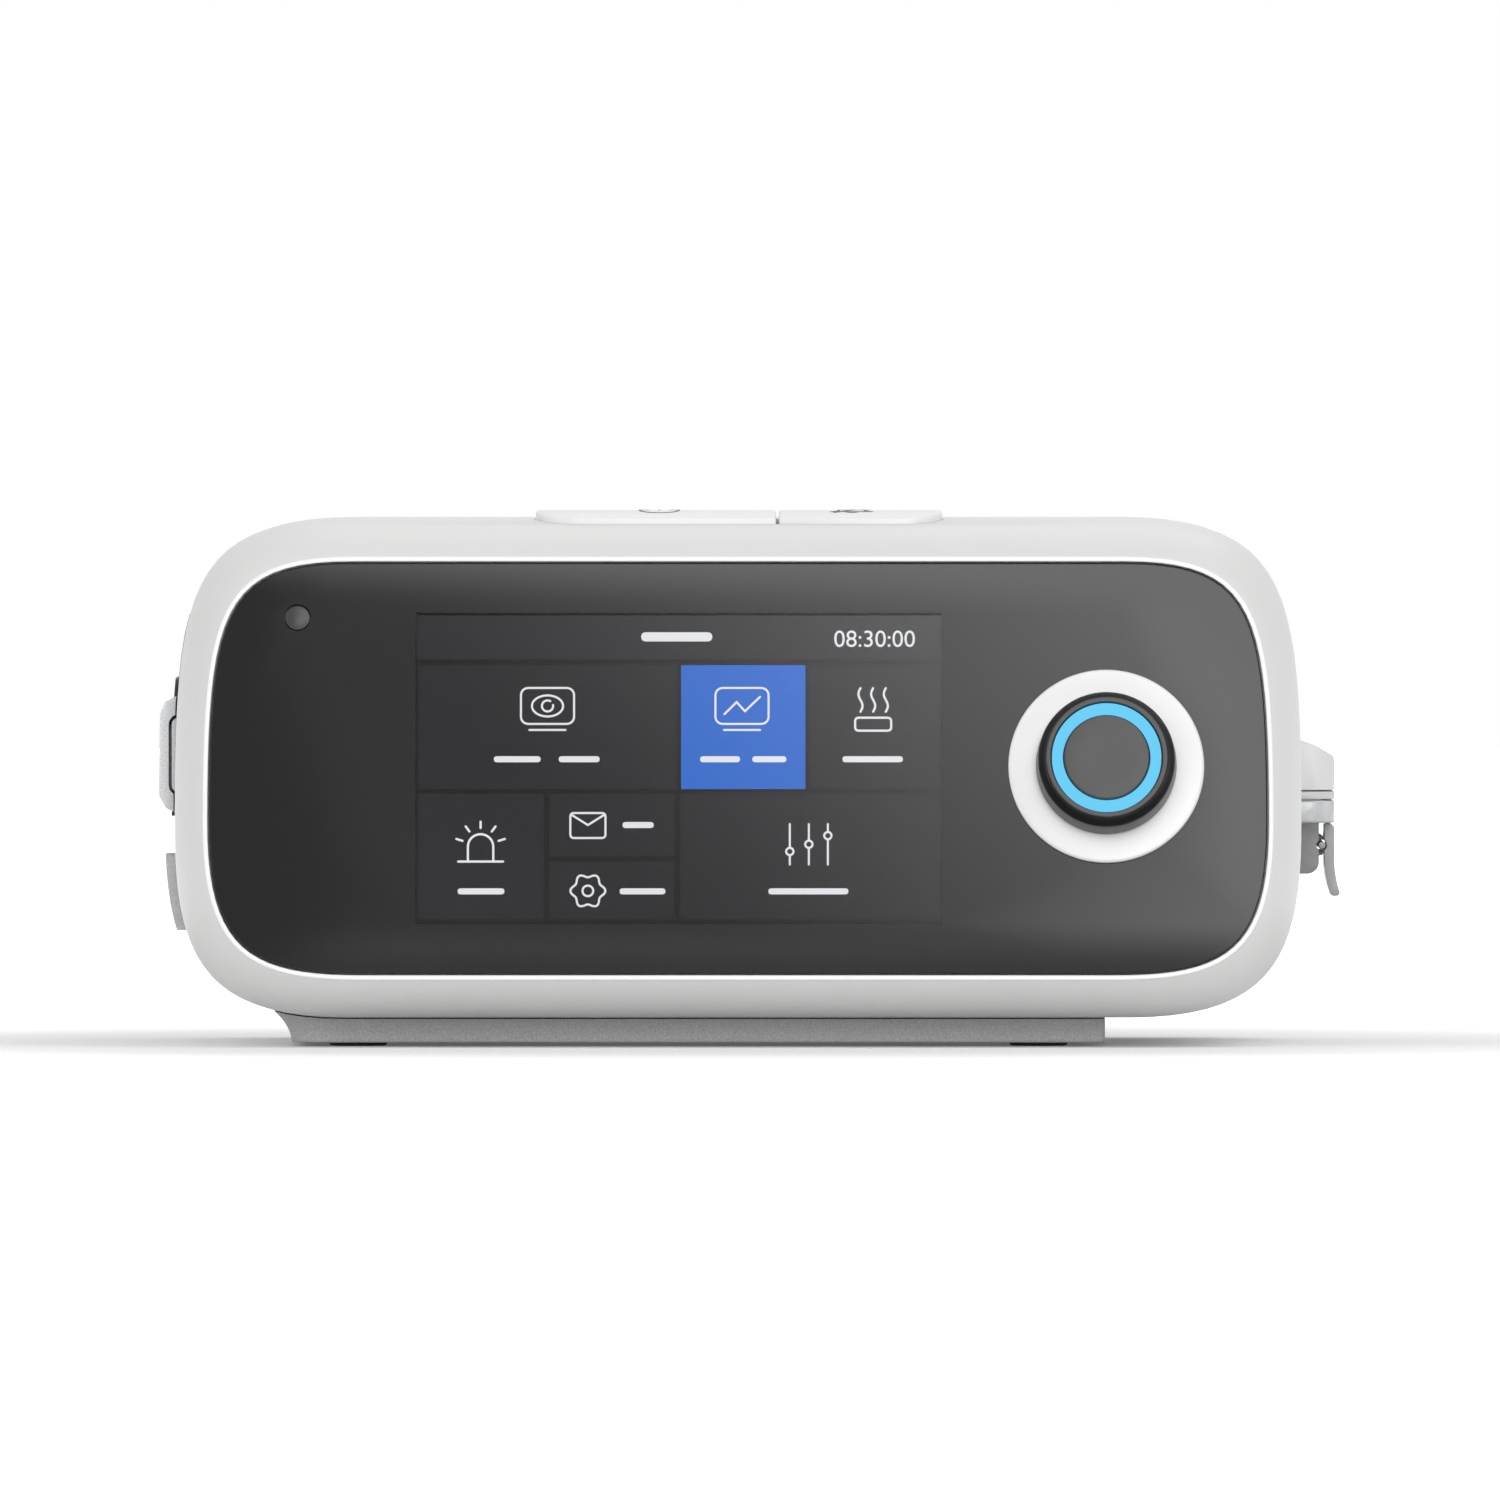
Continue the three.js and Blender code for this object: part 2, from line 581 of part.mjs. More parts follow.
const boardLevel = 92; // underside of the main board
const boardPostRadius = 3.5;
const mainInset = { sides: 29.8, front: 18, rear: 8 };
const mainBoard = { y: [frontDepth + mainInset.front, housingEnd - mainInset.rear], corner: 3 };
const boardX = bodyHalfWidth - mainInset.sides;
const postInset = 6; // from the board's edges
const postX = boardX - postInset;
const postY = [mainBoard.y[0] + postInset, mainBoard.y[1] - postInset];
const boardPosts = [[-postX, postY[0]], [postX, postY[0]], [-postX, postY[1]], [postX, postY[1]]];
const mainShell = skin(0, wall);
const postTop = bodyTop - wall / 2;
add("upper_housing", cut(
  join(
    cut(mainShell, below(chassisTop + gap / 2)),
    ...boardPosts.map(([x, y]) =>
      rod("z", boardPostRadius, boardLevel + boardThickness + gap, postTop, [x, y, 0], 12)),
  ),
  sideSkin(-overrun, sidePanel.depth + gap, sidePanel, gap),
  sideWindow(filterOpening),
  sideWindow(dataOpening),
  bayHole(0, 0, farX),
), whiteShell());

const bayBox = extrude("x", roundedRectangle(
  bay.y[0], bay.y[1], bay.z[0], bay.z[1], bayCorner + bayWall,
), bay.x, farX);
add("humidifier_bay", cut(
  common(bayBox, bodyLoft(wall + gap)),
  bayHole(0, bay.x + bayWall, farX + overrun),
  boxBetween(
    [heater.x[0] - gap, heater.y[0] - gap, bay.z[0] - overrun],
    [heater.x[1] + gap, heater.y[1] + gap, bayInner.z[0] + overrun],
  ),
  ...airPort.y.map((y) => portHole(y, 0, bay.x - overrun, bay.x + bayWall + overrun)),
), darkPlastic());

const heaterTop = bayInner.z[0] + heater.proud;
const heaterBottom = heaterTop - heater.thickness;
const insulatorThickness = 3.5;
const insulatorInset = 2;
add("heater_plate", boxBetween(
  [heater.x[0], heater.y[0], heaterBottom],
  [heater.x[1], heater.y[1], heaterTop],
), metal());
const insulatorBottom = heaterBottom - gap - insulatorThickness;
add("heater_insulator", boxBetween(
  [heater.x[0] + insulatorInset, heater.y[0] + insulatorInset, insulatorBottom],
  [heater.x[1] - insulatorInset, heater.y[1] - insulatorInset, heaterBottom - gap],
), foam());

// Blower places that the chassis below it needs
const sleeveDepth = 14; // of the filter's sleeve, inwards from the body's side
const sleeveX = sleeveDepth - bodyHalfWidth;
const blowerRadius = 36;
const freeRun = bay.x - sleeveX - 2 * blowerRadius; // left over between filter, blower and bay
const ductShare = 0.4275; // of the free run, between blower and bay
const blowerSetback = 48; // behind the bay's front wall
const blower = {
  x: bay.x - blowerRadius - freeRun * ductShare, y: bay.y[0] + blowerSetback, radius: blowerRadius,
  level: airPort.level, height: 22,
};
const mountOuter = 20.5;
const mountInner = 15.5;
const motorBottom = 27.7;
const mountHeight = 5;
const mountBottom = motorBottom - gap - mountHeight;

// Lower housing: the tray with the heater's frame and the blower's ring standing on its floor.
const floorTop = bodyBottom + wall;
const frameWall = 2;
const heaterFrame = (margin, from, to) => boxBetween(
  [heater.x[0] + insulatorInset + margin, heater.y[0] + insulatorInset + margin, from],
  [heater.x[1] - insulatorInset - margin, heater.y[1] - insulatorInset - margin, to],
);
add("lower_housing", join(
  cut(mainShell, above(chassisTop - gap / 2)),
  common(
    cut(
      heaterFrame(0, bodyBottom, insulatorBottom - gap),
      heaterFrame(frameWall, bodyBottom - overrun, insulatorBottom + overrun),
    ),
    bodyLoft(wall / 2),
  ),
  tube("z", mountOuter, mountInner, floorTop - wall / 2, mountBottom - gap, [blower.x, blower.y, 0]),
), whiteShell());

// Rear cover with its cooling slots and the holes of the outlet and the power socket.
const rearSteps = 2;
const slotEndShare = 0.45; // radius of a slot's ends, of its width
const elbow = { outer: 8.5, bore: 6.5, bend: 14, straight: 4, steps: 9, sides: 12 };
const outlet = {
  x: bay.x - elbow.bend - elbow.straight, level: airPort.level,
  outer: 11.2, endOuter: 10.9, bore: 8.75, reach: 16,
};
const outletFlange = { radius: 14.5, thickness: 2 };
const jackInset = 35.8; // from the body's left side
const jack = {
  x: jackInset - bodyHalfWidth, level: 30,
  collar: 5.2, bore: 4, halfWidth: 7, halfHeight: 5.5, depth: 13,
};
const ventInset = { side: 65.8, top: 10.4 };
const ventHeight = 20;
const vent = {
  count: 9, pitch: 5, width: 2.2, x: bodyHalfWidth - ventInset.side,
  z: [bodyTop - ventInset.top - ventHeight, bodyTop - ventInset.top],
};
const rearFront = housingEnd + gap;
function rearCover() {
  const rolled = Array.from({ length: rearSteps }, (_, i) => {
    const angle = (Math.PI / 2) * ((i + 1) / rearSteps);
    const inset = rearRound * (1 - Math.cos(angle));
    return uprightRing(outlinePoints(bodyOutline, inset), rearY - rearRound * (1 - Math.sin(angle)));
  });
  const outer = loft([
    uprightRing(outlinePoints(bodyOutline), rearFront),
    uprightRing(outlinePoints(bodyOutline), rearY - rearRound),
    ...rolled,
  ]);
  const inner = loft([
    uprightRing(outlinePoints(bodyOutline, wall), rearFront - overrun),
    uprightRing(outlinePoints(bodyOutline, wall), rearY - rearRound),
    uprightRing(outlinePoints(bodyOutline, rearRound), rearY - wall),
  ]);
  const slots = Array.from({ length: vent.count }, (_, i) => {
    const x = vent.x + (i - (vent.count - 1) / 2) * vent.pitch;
    return extrude("y", roundedRectangle(
      x - vent.width / 2, x + vent.width / 2, vent.z[0], vent.z[1], vent.width * slotEndShare,
    ), rearY - wall - overrun, rearY + overrun, 1);
  });
  return cut(
    outer,
    inner,
    rod("y", outlet.outer + gap, rearY - wall - overrun, rearY + overrun, [outlet.x, 0, outlet.level], 24),
    rod("y", jack.collar + gap, rearY - wall - overrun, rearY + overrun, [jack.x, 0, jack.level]),
    ...slots,
  );
}
add("rear_cover", rearCover(), whiteShell());

const coverInside = rearY - wall - gap;
const outletInner = coverInside - outletFlange.thickness;
add("outlet_port", turned("y", [
  [outlet.bore, rearY + outlet.reach],
  [outlet.bore, outletInner],
  [outletFlange.radius, outletInner],
  [outletFlange.radius, coverInside],
  [outlet.outer, coverInside],
  [outlet.outer, rearY],
  [outlet.endOuter, rearY + outlet.reach],
  [outlet.bore, rearY + outlet.reach],
], [outlet.x, 0, outlet.level], 24), greyPlastic());
add("power_socket", cut(
  join(
    boxBetween(
      [jack.x - jack.halfWidth, coverInside - jack.depth, jack.level - jack.halfHeight],
      [jack.x + jack.halfWidth, coverInside, jack.level + jack.halfHeight],
    ),
    rod("y", jack.collar, coverInside - overrun, rearY - gap, [jack.x, 0, jack.level]),
  ),
  rod("y", jack.bore, coverInside - jack.depth / 2, rearY + overrun, [jack.x, 0, jack.level]),
), blackRubber());

// Pedestal: it flares up to the body at its left, front and back, ends square at the right,
// and stands on four rubber feet in pockets.
const footProud = 0.8;
const pedestalInset = { left: 24, right: 40.4, front: 20, rear: 22 }; // from the body's sides, panel and back
const pedestal = {
  x: [pedestalInset.left - bodyHalfWidth, bodyHalfWidth - pedestalInset.right],
  y: [pedestalInset.front, rearY - pedestalInset.rear],
  corner: 6, rightCorner: 1.5,
};
const flareHeight = 8.7;
const flareReach = 6.5;
const flareSteps = 5;
const footRadius = 6;
const footHeight = 2.5;
const footInset = { x: 13.6, y: 14 };
const footX = [pedestal.x[0] + footInset.x, pedestal.x[1] - footInset.x];
const footY = [pedestal.y[0] + footInset.y, pedestal.y[1] - footInset.y];
const footPlaces = {
  front_left: [footX[0], footY[0]],
  front_right: [footX[1], footY[0]],
  rear_left: [footX[0], footY[1]],
  rear_right: [footX[1], footY[1]],
};
const pocketInset = { feet: 16, ends: 10 };
const pocket = {
  x: [footX[0] + pocketInset.feet, footX[1] - pocketInset.feet],
  y: [pedestal.y[0] + pocketInset.ends, pedestal.y[1] - pocketInset.ends],
  count: 4, rib: 3, depth: 2.2,
};

function pedestalShape() {
  const ring = (flare, z) => {
    const outline = new THREE.Shape();
    const [x0, x1, y0, y1] = [
      pedestal.x[0] - flare, pedestal.x[1], pedestal.y[0] - flare, pedestal.y[1] + flare,
    ];
    const [r, s] = [pedestal.corner, pedestal.rightCorner];
    outline.moveTo(x0 + r, y0);
    outline.absarc(x1 - s, y0 + s, s, -Math.PI / 2, 0);
    outline.absarc(x1 - s, y1 - s, s, 0, Math.PI / 2);
    outline.absarc(x0 + r, y1 - r, r, Math.PI / 2, Math.PI);
    outline.absarc(x0 + r, y0 + r, r, Math.PI, Math.PI * 1.5);
    return outline.getPoints(4).map((p) => new THREE.Vector3(p.x, p.y, z));
  };
  const rings = Array.from({ length: flareSteps + 1 }, (_, i) => {
    const share = i / flareSteps;
    return ring(flareReach * share * share, footProud + flareHeight * share);
  });
  const count = rings[0].length - 1;
  const open = rings.map((r) => r.slice(0, count));
  return stack(open);
}

// A solid through level rings that run anticlockwise as seen from above.
function stack(rings) {
  const count = rings[0].length;
  const index = [];
  for (let r = 0; r < rings.length - 1; r++) {
    for (let i = 0; i < count; i++) {
      const j = (i + 1) % count;
      index.push(r * count + i, r * count + j, (r + 1) * count + j);
      index.push(r * count + i, (r + 1) * count + j, (r + 1) * count + i);
    }
  }
  const flat = (ring) => ring.map((p) => new THREE.Vector2(p.x, p.y));
  const last = (rings.length - 1) * count;
  THREE.ShapeUtils.triangulateShape(flat(rings[0]), []).forEach(([a, b, c]) => index.push(c, b, a));
  THREE.ShapeUtils.triangulateShape(flat(rings.at(-1)), []).forEach(([a, b, c]) =>
    index.push(last + a, last + b, last + c),
  );
  const geometry = new THREE.BufferGeometry();
  const position = rings.flat().flatMap((p) => [p.x, p.y, p.z]);
  geometry.setAttribute("position", new THREE.Float32BufferAttribute(position, 3));
  geometry.setIndex(index);
  return geometry;
}

const envelope = loft([
  leaningRing(outlinePoints(bodyOutline, -gap), rollDepth / 2),
  uprightRing(outlinePoints(bodyOutline, -gap), rearY + overrun),
]);
const pocketWidth = (pocket.x[1] - pocket.x[0] - pocket.rib * (pocket.count - 1)) / pocket.count;
const pedestalPockets = Array.from({ length: pocket.count }, (_, i) => {
  const x = pocket.x[0] + i * (pocketWidth + pocket.rib);
  return boxBetween([x, pocket.y[0], 0], [x + pocketWidth, pocket.y[1], footProud + pocket.depth]);
});
const footPocketTop = footHeight + gap;
add("pedestal", cut(
  pedestalShape(),
  envelope,
  ...pedestalPockets,
  ...Object.values(footPlaces).map(([x, y]) => rod("z", footRadius + gap, 0, footPocketTop, [x, y, 0], 16)),
), greyPlastic());
for (const [name, [x, y]] of Object.entries(footPlaces))
  add(`foot_${name}`, rod("z", footRadius, 0, footHeight, [x, y, 0], 16), blackRubber());

// Filter: a dark frame clipped into the side, a white pad in it, and a silver cover over it.
const frameFlange = { y: [64, 121], z: [46.9, 75.4], corner: 4, thickness: 0.6 };
const frameOuterInset = -sidePanel.proud - gap - frameFlange.thickness;
const sleeveWall = 1.5;
const gridBar = 3;
const gridDepth = 1.2;
const padHeight = 8;
const sleeve = {
  y: [filterOpening.y[0] + gap, filterOpening.y[1] - gap],
  z: [filterOpening.z[0] + gap, filterOpening.z[1] - gap],
  corner: filterOpening.corner - gap,
};
const inSleeve = (margin, from, to) => boxBetween(
  [from, sleeve.y[0] + margin, sleeve.z[0] + margin],
  [to, sleeve.y[1] - margin, sleeve.z[1] - margin],
);
const gridWindows = [0, 1, 2].map((i) => {
  const span = (sleeve.y[1] - sleeve.y[0] - 2 * sleeveWall - 4 * gridBar) / 3;
  const y = sleeve.y[0] + sleeveWall + gridBar + i * (span + gridBar);
  const z = sleeveWall + gridBar;
  return boxBetween([-farX, y, sleeve.z[0] + z], [sleeveX + overrun, y + span, sleeve.z[1] - z]);
});
add("filter_frame", cut(
  join(
    sideSkin(frameOuterInset, -sidePanel.proud - gap, frameFlange),
    common(
      sideWindow(sleeve, 0, -farX, sleeveX),
      cut(bodyLoft(frameOuterInset), boxBetween([sleeveX, 0, 0], [farX, rearY, bodyTop])),
    ),
  ),
  inSleeve(sleeveWall, -farX, sleeveX - gridDepth),
  ...gridWindows,
), darkPlastic());
const padBack = sleeveX - gridDepth - gap;
add("filter_pad", inSleeve(sleeveWall + gap, padBack - padHeight, padBack), foam());

const cover = { y: [50, 122], bottom: 47.6, top: 71.75, proud: 3.7, shoulder: 2.3, seat: 3.8 };
const coverX = (proud) => -bodyHalfWidth - proud;
const coverOutline = [
  [coverX(-cover.seat), cover.bottom],
  [coverX(0), cover.bottom],
  [coverX(cover.shoulder), cover.bottom + cover.shoulder / 2],
  [coverX(cover.proud), cover.bottom + cover.proud],
  [coverX(cover.proud - gap), cover.top - cover.proud],
  [coverX(cover.shoulder), cover.top - cover.shoulder / 2],
  [coverX(0), cover.top],
  [coverX(-cover.seat), cover.top],
];
const tab = { x: coverX(1), ...tabSeat };
const louvre = { count: 7, pitch: 6, width: 2, z: [55, 65], y: 96 };
const louvreDepth = 3;
const tabHole = roundedRectangle(
  tab.x - tab.slot, -bodyHalfWidth + 2 * wall,
  tab.z[0] - tab.slot, tab.z[1] + tab.slot, tab.corner + tab.slot,
);
const tabShape = roundedRectangle(tab.x, -bodyHalfWidth + 2 * wall, tab.z[0], tab.z[1], tab.corner);
const louvres = Array.from({ length: louvre.count }, (_, i) => {
  const y = louvre.y + (i - (louvre.count - 1) / 2) * louvre.pitch;
  const x = coverOutline[3][0];
  return extrude("x", roundedRectangle(
    y - louvre.width / 2, y + louvre.width / 2, louvre.z[0], louvre.z[1], louvre.width * slotEndShare,
  ), x - overrun, x + louvreDepth, 1);
});
add("filter_cover", cut(
  extrude("y", polygon(coverOutline), cover.y[0], cover.y[1]),
  bodyLoft(-sidePanel.proud - gap, overrun),
  common(
    bodyLoft(frameOuterInset - gap, overrun),
    boxBetween([-farX, frameFlange.y[0] - gap, 0], [0, frameFlange.y[1] + gap, bodyTop]),
  ),
  extrude("y", tabHole, cover.y[0] - overrun, tab.y[1] + tab.travel + gap),
  ...louvres,
), silverPlastic());
add("filter_release_tab", cut(
  extrude("y", tabShape, tab.y[0], tab.y[1]),
  bodyLoft(tab.depth - gap, overrun),
), silverPlastic());

// Port cover: a thick rubber flap over the data socket, hinged at its rear edge.
const flap = { y: [72, 100], z: [23.2, 39], corner: 3, thickness: 2.1 };
const flapInset = -sidePanel.proud - gap;
add("port_cover", sideSkin(flapInset - flap.thickness, flapInset, flap), greyRubber());
const socketDepth = 17.8;
const socket = { y: [78.5, 93.5], z: [28, 35.2], back: socketDepth - bodyHalfWidth, wall: 1.1 };
add("data_socket", cut(
  common(
    boxBetween([-farX, socket.y[0], socket.z[0]], [socket.back, socket.y[1], socket.z[1]]),
    bodyLoft(gap),
  ),
  boxBetween(
    [-farX, socket.y[0] + socket.wall, socket.z[0] + socket.wall],
    [socket.back - 2 * socket.wall, socket.y[1] - socket.wall, socket.z[1] - socket.wall],
  ),
), metal());

// Tank: a clear box on a metal base plate, a seal and a white lid. Its nose stands out of the
// right side and carries the latch lever.
const tankClearance = 0.8; // in the bay
const tankY = [bayInner.y[0] + tankClearance, bayInner.y[1] - tankClearance];
const basePlate = { margin: 1, thickness: 2, window: 5 };
const portSealLength = 2.3;
const tankBottom = heaterTop + 2 * gap + basePlate.thickness;
const tankDepth = 24.5;
const shoulderInset = 17.8; // from the body's side to where the tank narrows to its nose
const tank = {
  x: bay.x + bayWall + portSealLength, y: tankY, corner: 4, sideInset: 0.4, wall: 2,
  bottom: tankBottom, rim: tankBottom + tankDepth, shoulder: bodyHalfWidth - shoulderInset,
};
const noseProud = 7.4; // of the body's side
const noseInset = 15.2;
const noseDepth = 4.6;
const nose = {
  x: bodyHalfWidth + noseProud, y: [tankY[0] + noseInset, tankY[1] - noseInset],
  corner: 5, bottom: tank.rim - noseDepth,
};
const sealHeight = 1.9;
const sealTop = tank.rim + sealHeight;
const sealWidth = 3;
const lidHeight = 10.3;
const lidTop = sealTop + lidHeight;
const lidWall = 2;
const tankLayer = (from, to, margin, noseFrom = from) =>
  join(
    common(
      extrude("z", roundedRectangle(
        tank.x + margin, farX, tank.y[0] + margin, tank.y[1] - margin, tank.corner - margin / 2,
      ), from, to, 3),
      bodyLoft(tank.sideInset + margin),
    ),
    extrude("z", roundedRectangle(
      tank.shoulder, nose.x - margin, nose.y[0] + margin, nose.y[1] - margin, nose.corner - margin / 2,
    ), noseFrom, to, 3),
  );
const plateX = [heater.x[0] + basePlate.margin, heater.x[1] - basePlate.margin];
const plateY = [heater.y[0] + basePlate.margin, heater.y[1] - basePlate.margin];
const plateBox = (margin, from, to) =>
  boxBetween([plateX[0] + margin, plateY[0] + margin, from], [plateX[1] - margin, plateY[1] - margin, to]);

// Latch: a lever on a pin between two ears of the tank's end block.
const blockInset = { nose: 3.2, ends: 8 };
const blockDepth = 10.6;
const block = {
  x: nose.x - blockInset.nose, y: [nose.y[0] + blockInset.ends, nose.y[1] - blockInset.ends],
  z: [nose.bottom - blockDepth, nose.bottom + overrun], corner: 2.5,
};
const pinPlace = { proud: 0.6, drop: 4.7, inset: 1 }; // from the block's face, top and ends
const pin = {
  x: block.x + pinPlace.proud, z: nose.bottom - pinPlace.drop, radius: 0.8, clearance: gap,
  y: [block.y[0] + pinPlace.inset, block.y[1] - pinPlace.inset],
};
const pairFrom = (start, width) => [
  [block.y[0] + start, block.y[0] + start + width],
  [block.y[1] - start - width, block.y[1] - start],
];
const earWidth = 4;
const earStart = 4;
const earProud = 0.9;
const ears = { y: pairFrom(earStart, earWidth), halfHeight: 2.1, x: block.x + earProud };
const lugStart = earStart + earWidth + overrun;
const lugs = { y: pairFrom(lugStart, earWidth), halfHeight: 1.2, x: block.x + gap };
const leverPlace = { inset: 2, bend: 2.8, reach: 10.5 };
const lever = {
  x: ears.x + gap, y: [block.y[0] + leverPlace.inset, block.y[1] - leverPlace.inset],
  top: nose.bottom - gap, straight: pin.z - leverPlace.bend, tip: pin.z - leverPlace.reach,
  thickness: 2, flare: 1.4,
};
const pinBore = rod("y", pin.radius + pin.clearance, nose.y[0], nose.y[1], [pin.x, 0, pin.z], 12);
const blockShape = () => {
  const shape = new THREE.Shape();
  shape.moveTo(tank.shoulder, block.z[0]);
  shape.lineTo(block.x - block.corner, block.z[0]);
  shape.absarc(block.x - block.corner, block.z[0] + block.corner, block.corner, -Math.PI / 2, 0);
  shape.lineTo(block.x, block.z[1]);
  shape.lineTo(tank.shoulder, block.z[1]);
  return shape;
};
add("tank_body", cut(
  join(
    tankLayer(tank.bottom, tank.rim, 0, nose.bottom),
    extrude("y", blockShape(), block.y[0], block.y[1]),
    ...ears.y.map(([from, to]) => boxBetween(
      [block.x - overrun, from, pin.z - ears.halfHeight],
      [ears.x, to, pin.z + ears.halfHeight],
    )),
  ),
  cut(
    tankLayer(tank.bottom + tank.wall, tank.rim + overrun, tank.wall, nose.bottom + tank.wall),
    boxBetween([block.x, 0, 0], [farX, rearY, nose.bottom]),
  ),
  plateBox(basePlate.window, tank.bottom - overrun, tank.bottom + tank.wall + overrun),
  pinBore,
), clearPlastic());
add("tank_base_plate", plateBox(0, tank.bottom - gap - basePlate.thickness, tank.bottom - gap), metal());
add("tank_seal", cut(
  tankLayer(tank.rim + gap, sealTop, 0),
  tankLayer(tank.rim - overrun, sealTop + overrun, sealWidth),
), clearPlastic());

const lidDome = { from: bodyHalfWidth, to: nose.x - 2 * gap, drop: 2.8 };
const domeShape = () => {
  const shape = new THREE.Shape();
  shape.moveTo(lidDome.from, lidTop);
  const crest = (lidDome.from + lidDome.to) / 2;
  shape.quadraticCurveTo(crest, lidTop - lidDome.drop / 4, lidDome.to, lidTop - lidDome.drop);
  shape.lineTo(nose.x, lidTop - 2 * lidDome.drop);
  shape.lineTo(nose.x + overrun, lidTop - 2 * lidDome.drop);
  shape.lineTo(nose.x + overrun, lidTop + overrun);
  shape.lineTo(lidDome.from, lidTop + overrun);
  return shape;
};
const lidBottom = sealTop + gap;
add("tank_lid", cut(
  tankLayer(lidBottom, lidTop, 0),
  cut(
    tankLayer(lidBottom - overrun, lidTop - lidWall, sealWidth),
    boxBetween([lidDome.from, 0, 0], [farX, rearY, bodyTop]),
  ),
  extrude("y", domeShape(), nose.y[0] - overrun, nose.y[1] + overrun),
  ...airPort.y.map((y) => portHole(y, 0, tank.x - overrun, tank.x + sealWidth + overrun)),
), whiteShell());
for (const [name, y] of [["bay_seal_in", airPort.y[0]], ["bay_seal_out", airPort.y[1]]])
  add(name, cut(
    portHole(y, bayWall, bay.x + bayWall + gap, tank.x - gap),
    portHole(y, 0, bay.x, tank.x),
  ), greyRubber());

const leverShape = () => {
  const shape = new THREE.Shape();
  shape.moveTo(lever.x, lever.top);
  shape.lineTo(lever.x, lever.straight);
  shape.quadraticCurveTo(lever.x, (lever.straight + lever.tip) / 2, lever.x + lever.flare, lever.tip);
  shape.lineTo(lever.x + lever.flare + lever.thickness, lever.tip);
  shape.quadraticCurveTo(
    lever.x + lever.thickness, (lever.straight + lever.tip) / 2, lever.x + lever.thickness, lever.straight,
  );
  shape.lineTo(lever.x + lever.thickness, lever.top);
  return shape;
};
add("tank_latch", cut(
  join(
    extrude("y", leverShape(), lever.y[0], lever.y[1], 4),
    ...lugs.y.map(([from, to]) => boxBetween(
      [lugs.x, from, pin.z - lugs.halfHeight],
      [lever.x + lever.thickness / 2, to, pin.z + lugs.halfHeight],
    )),
  ),
  pinBore,
), clearPlastic());
add("latch_pin", rod("y", pin.radius, pin.y[0], pin.y[1], [pin.x, 0, pin.z], 12), metal());

// Blower: two volute halves round the impeller, the motor below them on a rubber ring.
const volute = {
  bottom: blower.level - blower.height / 2, top: blower.level + blower.height / 2,
  wall: 2, inlet: 14, outletY: airPort.y[0], duct: 8.5, steps: 24,
};
const blowerPlace = [blower.x, blower.y, 0];
const motor = { outer: 24, wall: 2, bearing: 6, shaft: 2, bearingHeight: 3, bottom: motorBottom };
const motorTop = volute.bottom - gap;
const ductEnd = bay.x - gap;
const ductStart = blower.x + blower.radius + wall;
const ductRod = (radius, from, to) =>
  rod("x", radius, from, to, [0, volute.outletY, blower.level], 16);
const voluteOuter = join(
  rod("z", blower.radius, volute.bottom, volute.top, blowerPlace, volute.steps),
  ductRod(volute.duct, blower.x, ductStart),
);
const voluteInner = join(
  rod("z", blower.radius - volute.wall, volute.bottom + volute.wall, volute.top - volute.wall,
    blowerPlace, volute.steps),
  ductRod(volute.duct - volute.wall, blower.x, ductStart + overrun),
);
add("volute_lower", cut(
  voluteOuter,
  above(blower.level - gap / 2),
  voluteInner,
  rod("z", motor.bearing + gap, volute.bottom - overrun, volute.bottom + volute.wall + overrun, blowerPlace),
), darkPlastic());
add("volute_upper", cut(
  voluteOuter,
  below(blower.level + gap / 2),
  voluteInner,
  rod("z", volute.inlet, volute.top - volute.wall - overrun, volute.top + overrun, blowerPlace),
), darkPlastic());

// Motor: its cup, stator, two bearings, the magnet shaft and the impeller on its end.
const cupFloor = motor.bottom + motor.bearingHeight;
const cupInner = motor.outer - motor.wall;
add("motor_cup", cut(
  rod("z", motor.outer, motor.bottom, motorTop, blowerPlace),
  rod("z", cupInner, cupFloor, motorTop + overrun, blowerPlace),
  rod("z", motor.bearing + gap, motor.bottom - overrun, cupFloor + overrun, blowerPlace),
), metal());
const bearingTube = (from) =>
  tube("z", motor.bearing, motor.shaft + gap, from, from + motor.bearingHeight, blowerPlace, 12);
add("motor_bearing_lower", bearingTube(motor.bottom), metal());
add("motor_bearing_upper", bearingTube(volute.bottom + volute.wall - motor.bearingHeight), metal());
const magnetClearance = 1;
const magnet = { radius: 10, from: cupFloor + magnetClearance, to: volute.bottom - wall };
add("motor_stator", tube(
  "z", cupInner - gap, magnet.radius + magnetClearance, cupFloor + gap, magnet.to, blowerPlace, 16,
), darkMetal());
const impeller = { radius: 27, hub: 5, blades: 9, bladeThickness: 1.2, plate: 1.2, eye: 13 };
const impellerGap = 1.5; // to the volute above and below
const impellerBottom = volute.bottom + volute.wall + impellerGap;
const bladeDrop = 2;
const bladeTop = volute.top - volute.wall - impellerGap - bladeDrop;
const shaftTop = bladeTop - impellerGap;
add("motor_shaft", join(
  rod("z", motor.shaft, motor.bottom + gap, shaftTop, blowerPlace, 12),
  rod("z", magnet.radius, magnet.from, magnet.to, blowerPlace, 16),
), darkMetal());
const blades = Array.from({ length: impeller.blades }, (_, i) => {
  const blade = boxBetween(
    [impeller.hub - overrun, -impeller.bladeThickness / 2, impellerBottom + impeller.plate / 2],
    [impeller.radius - overrun, impeller.bladeThickness / 2, bladeTop],
  );
  return blade.rotateZ((i / impeller.blades) * 2 * Math.PI).translate(blower.x, blower.y, 0);
});
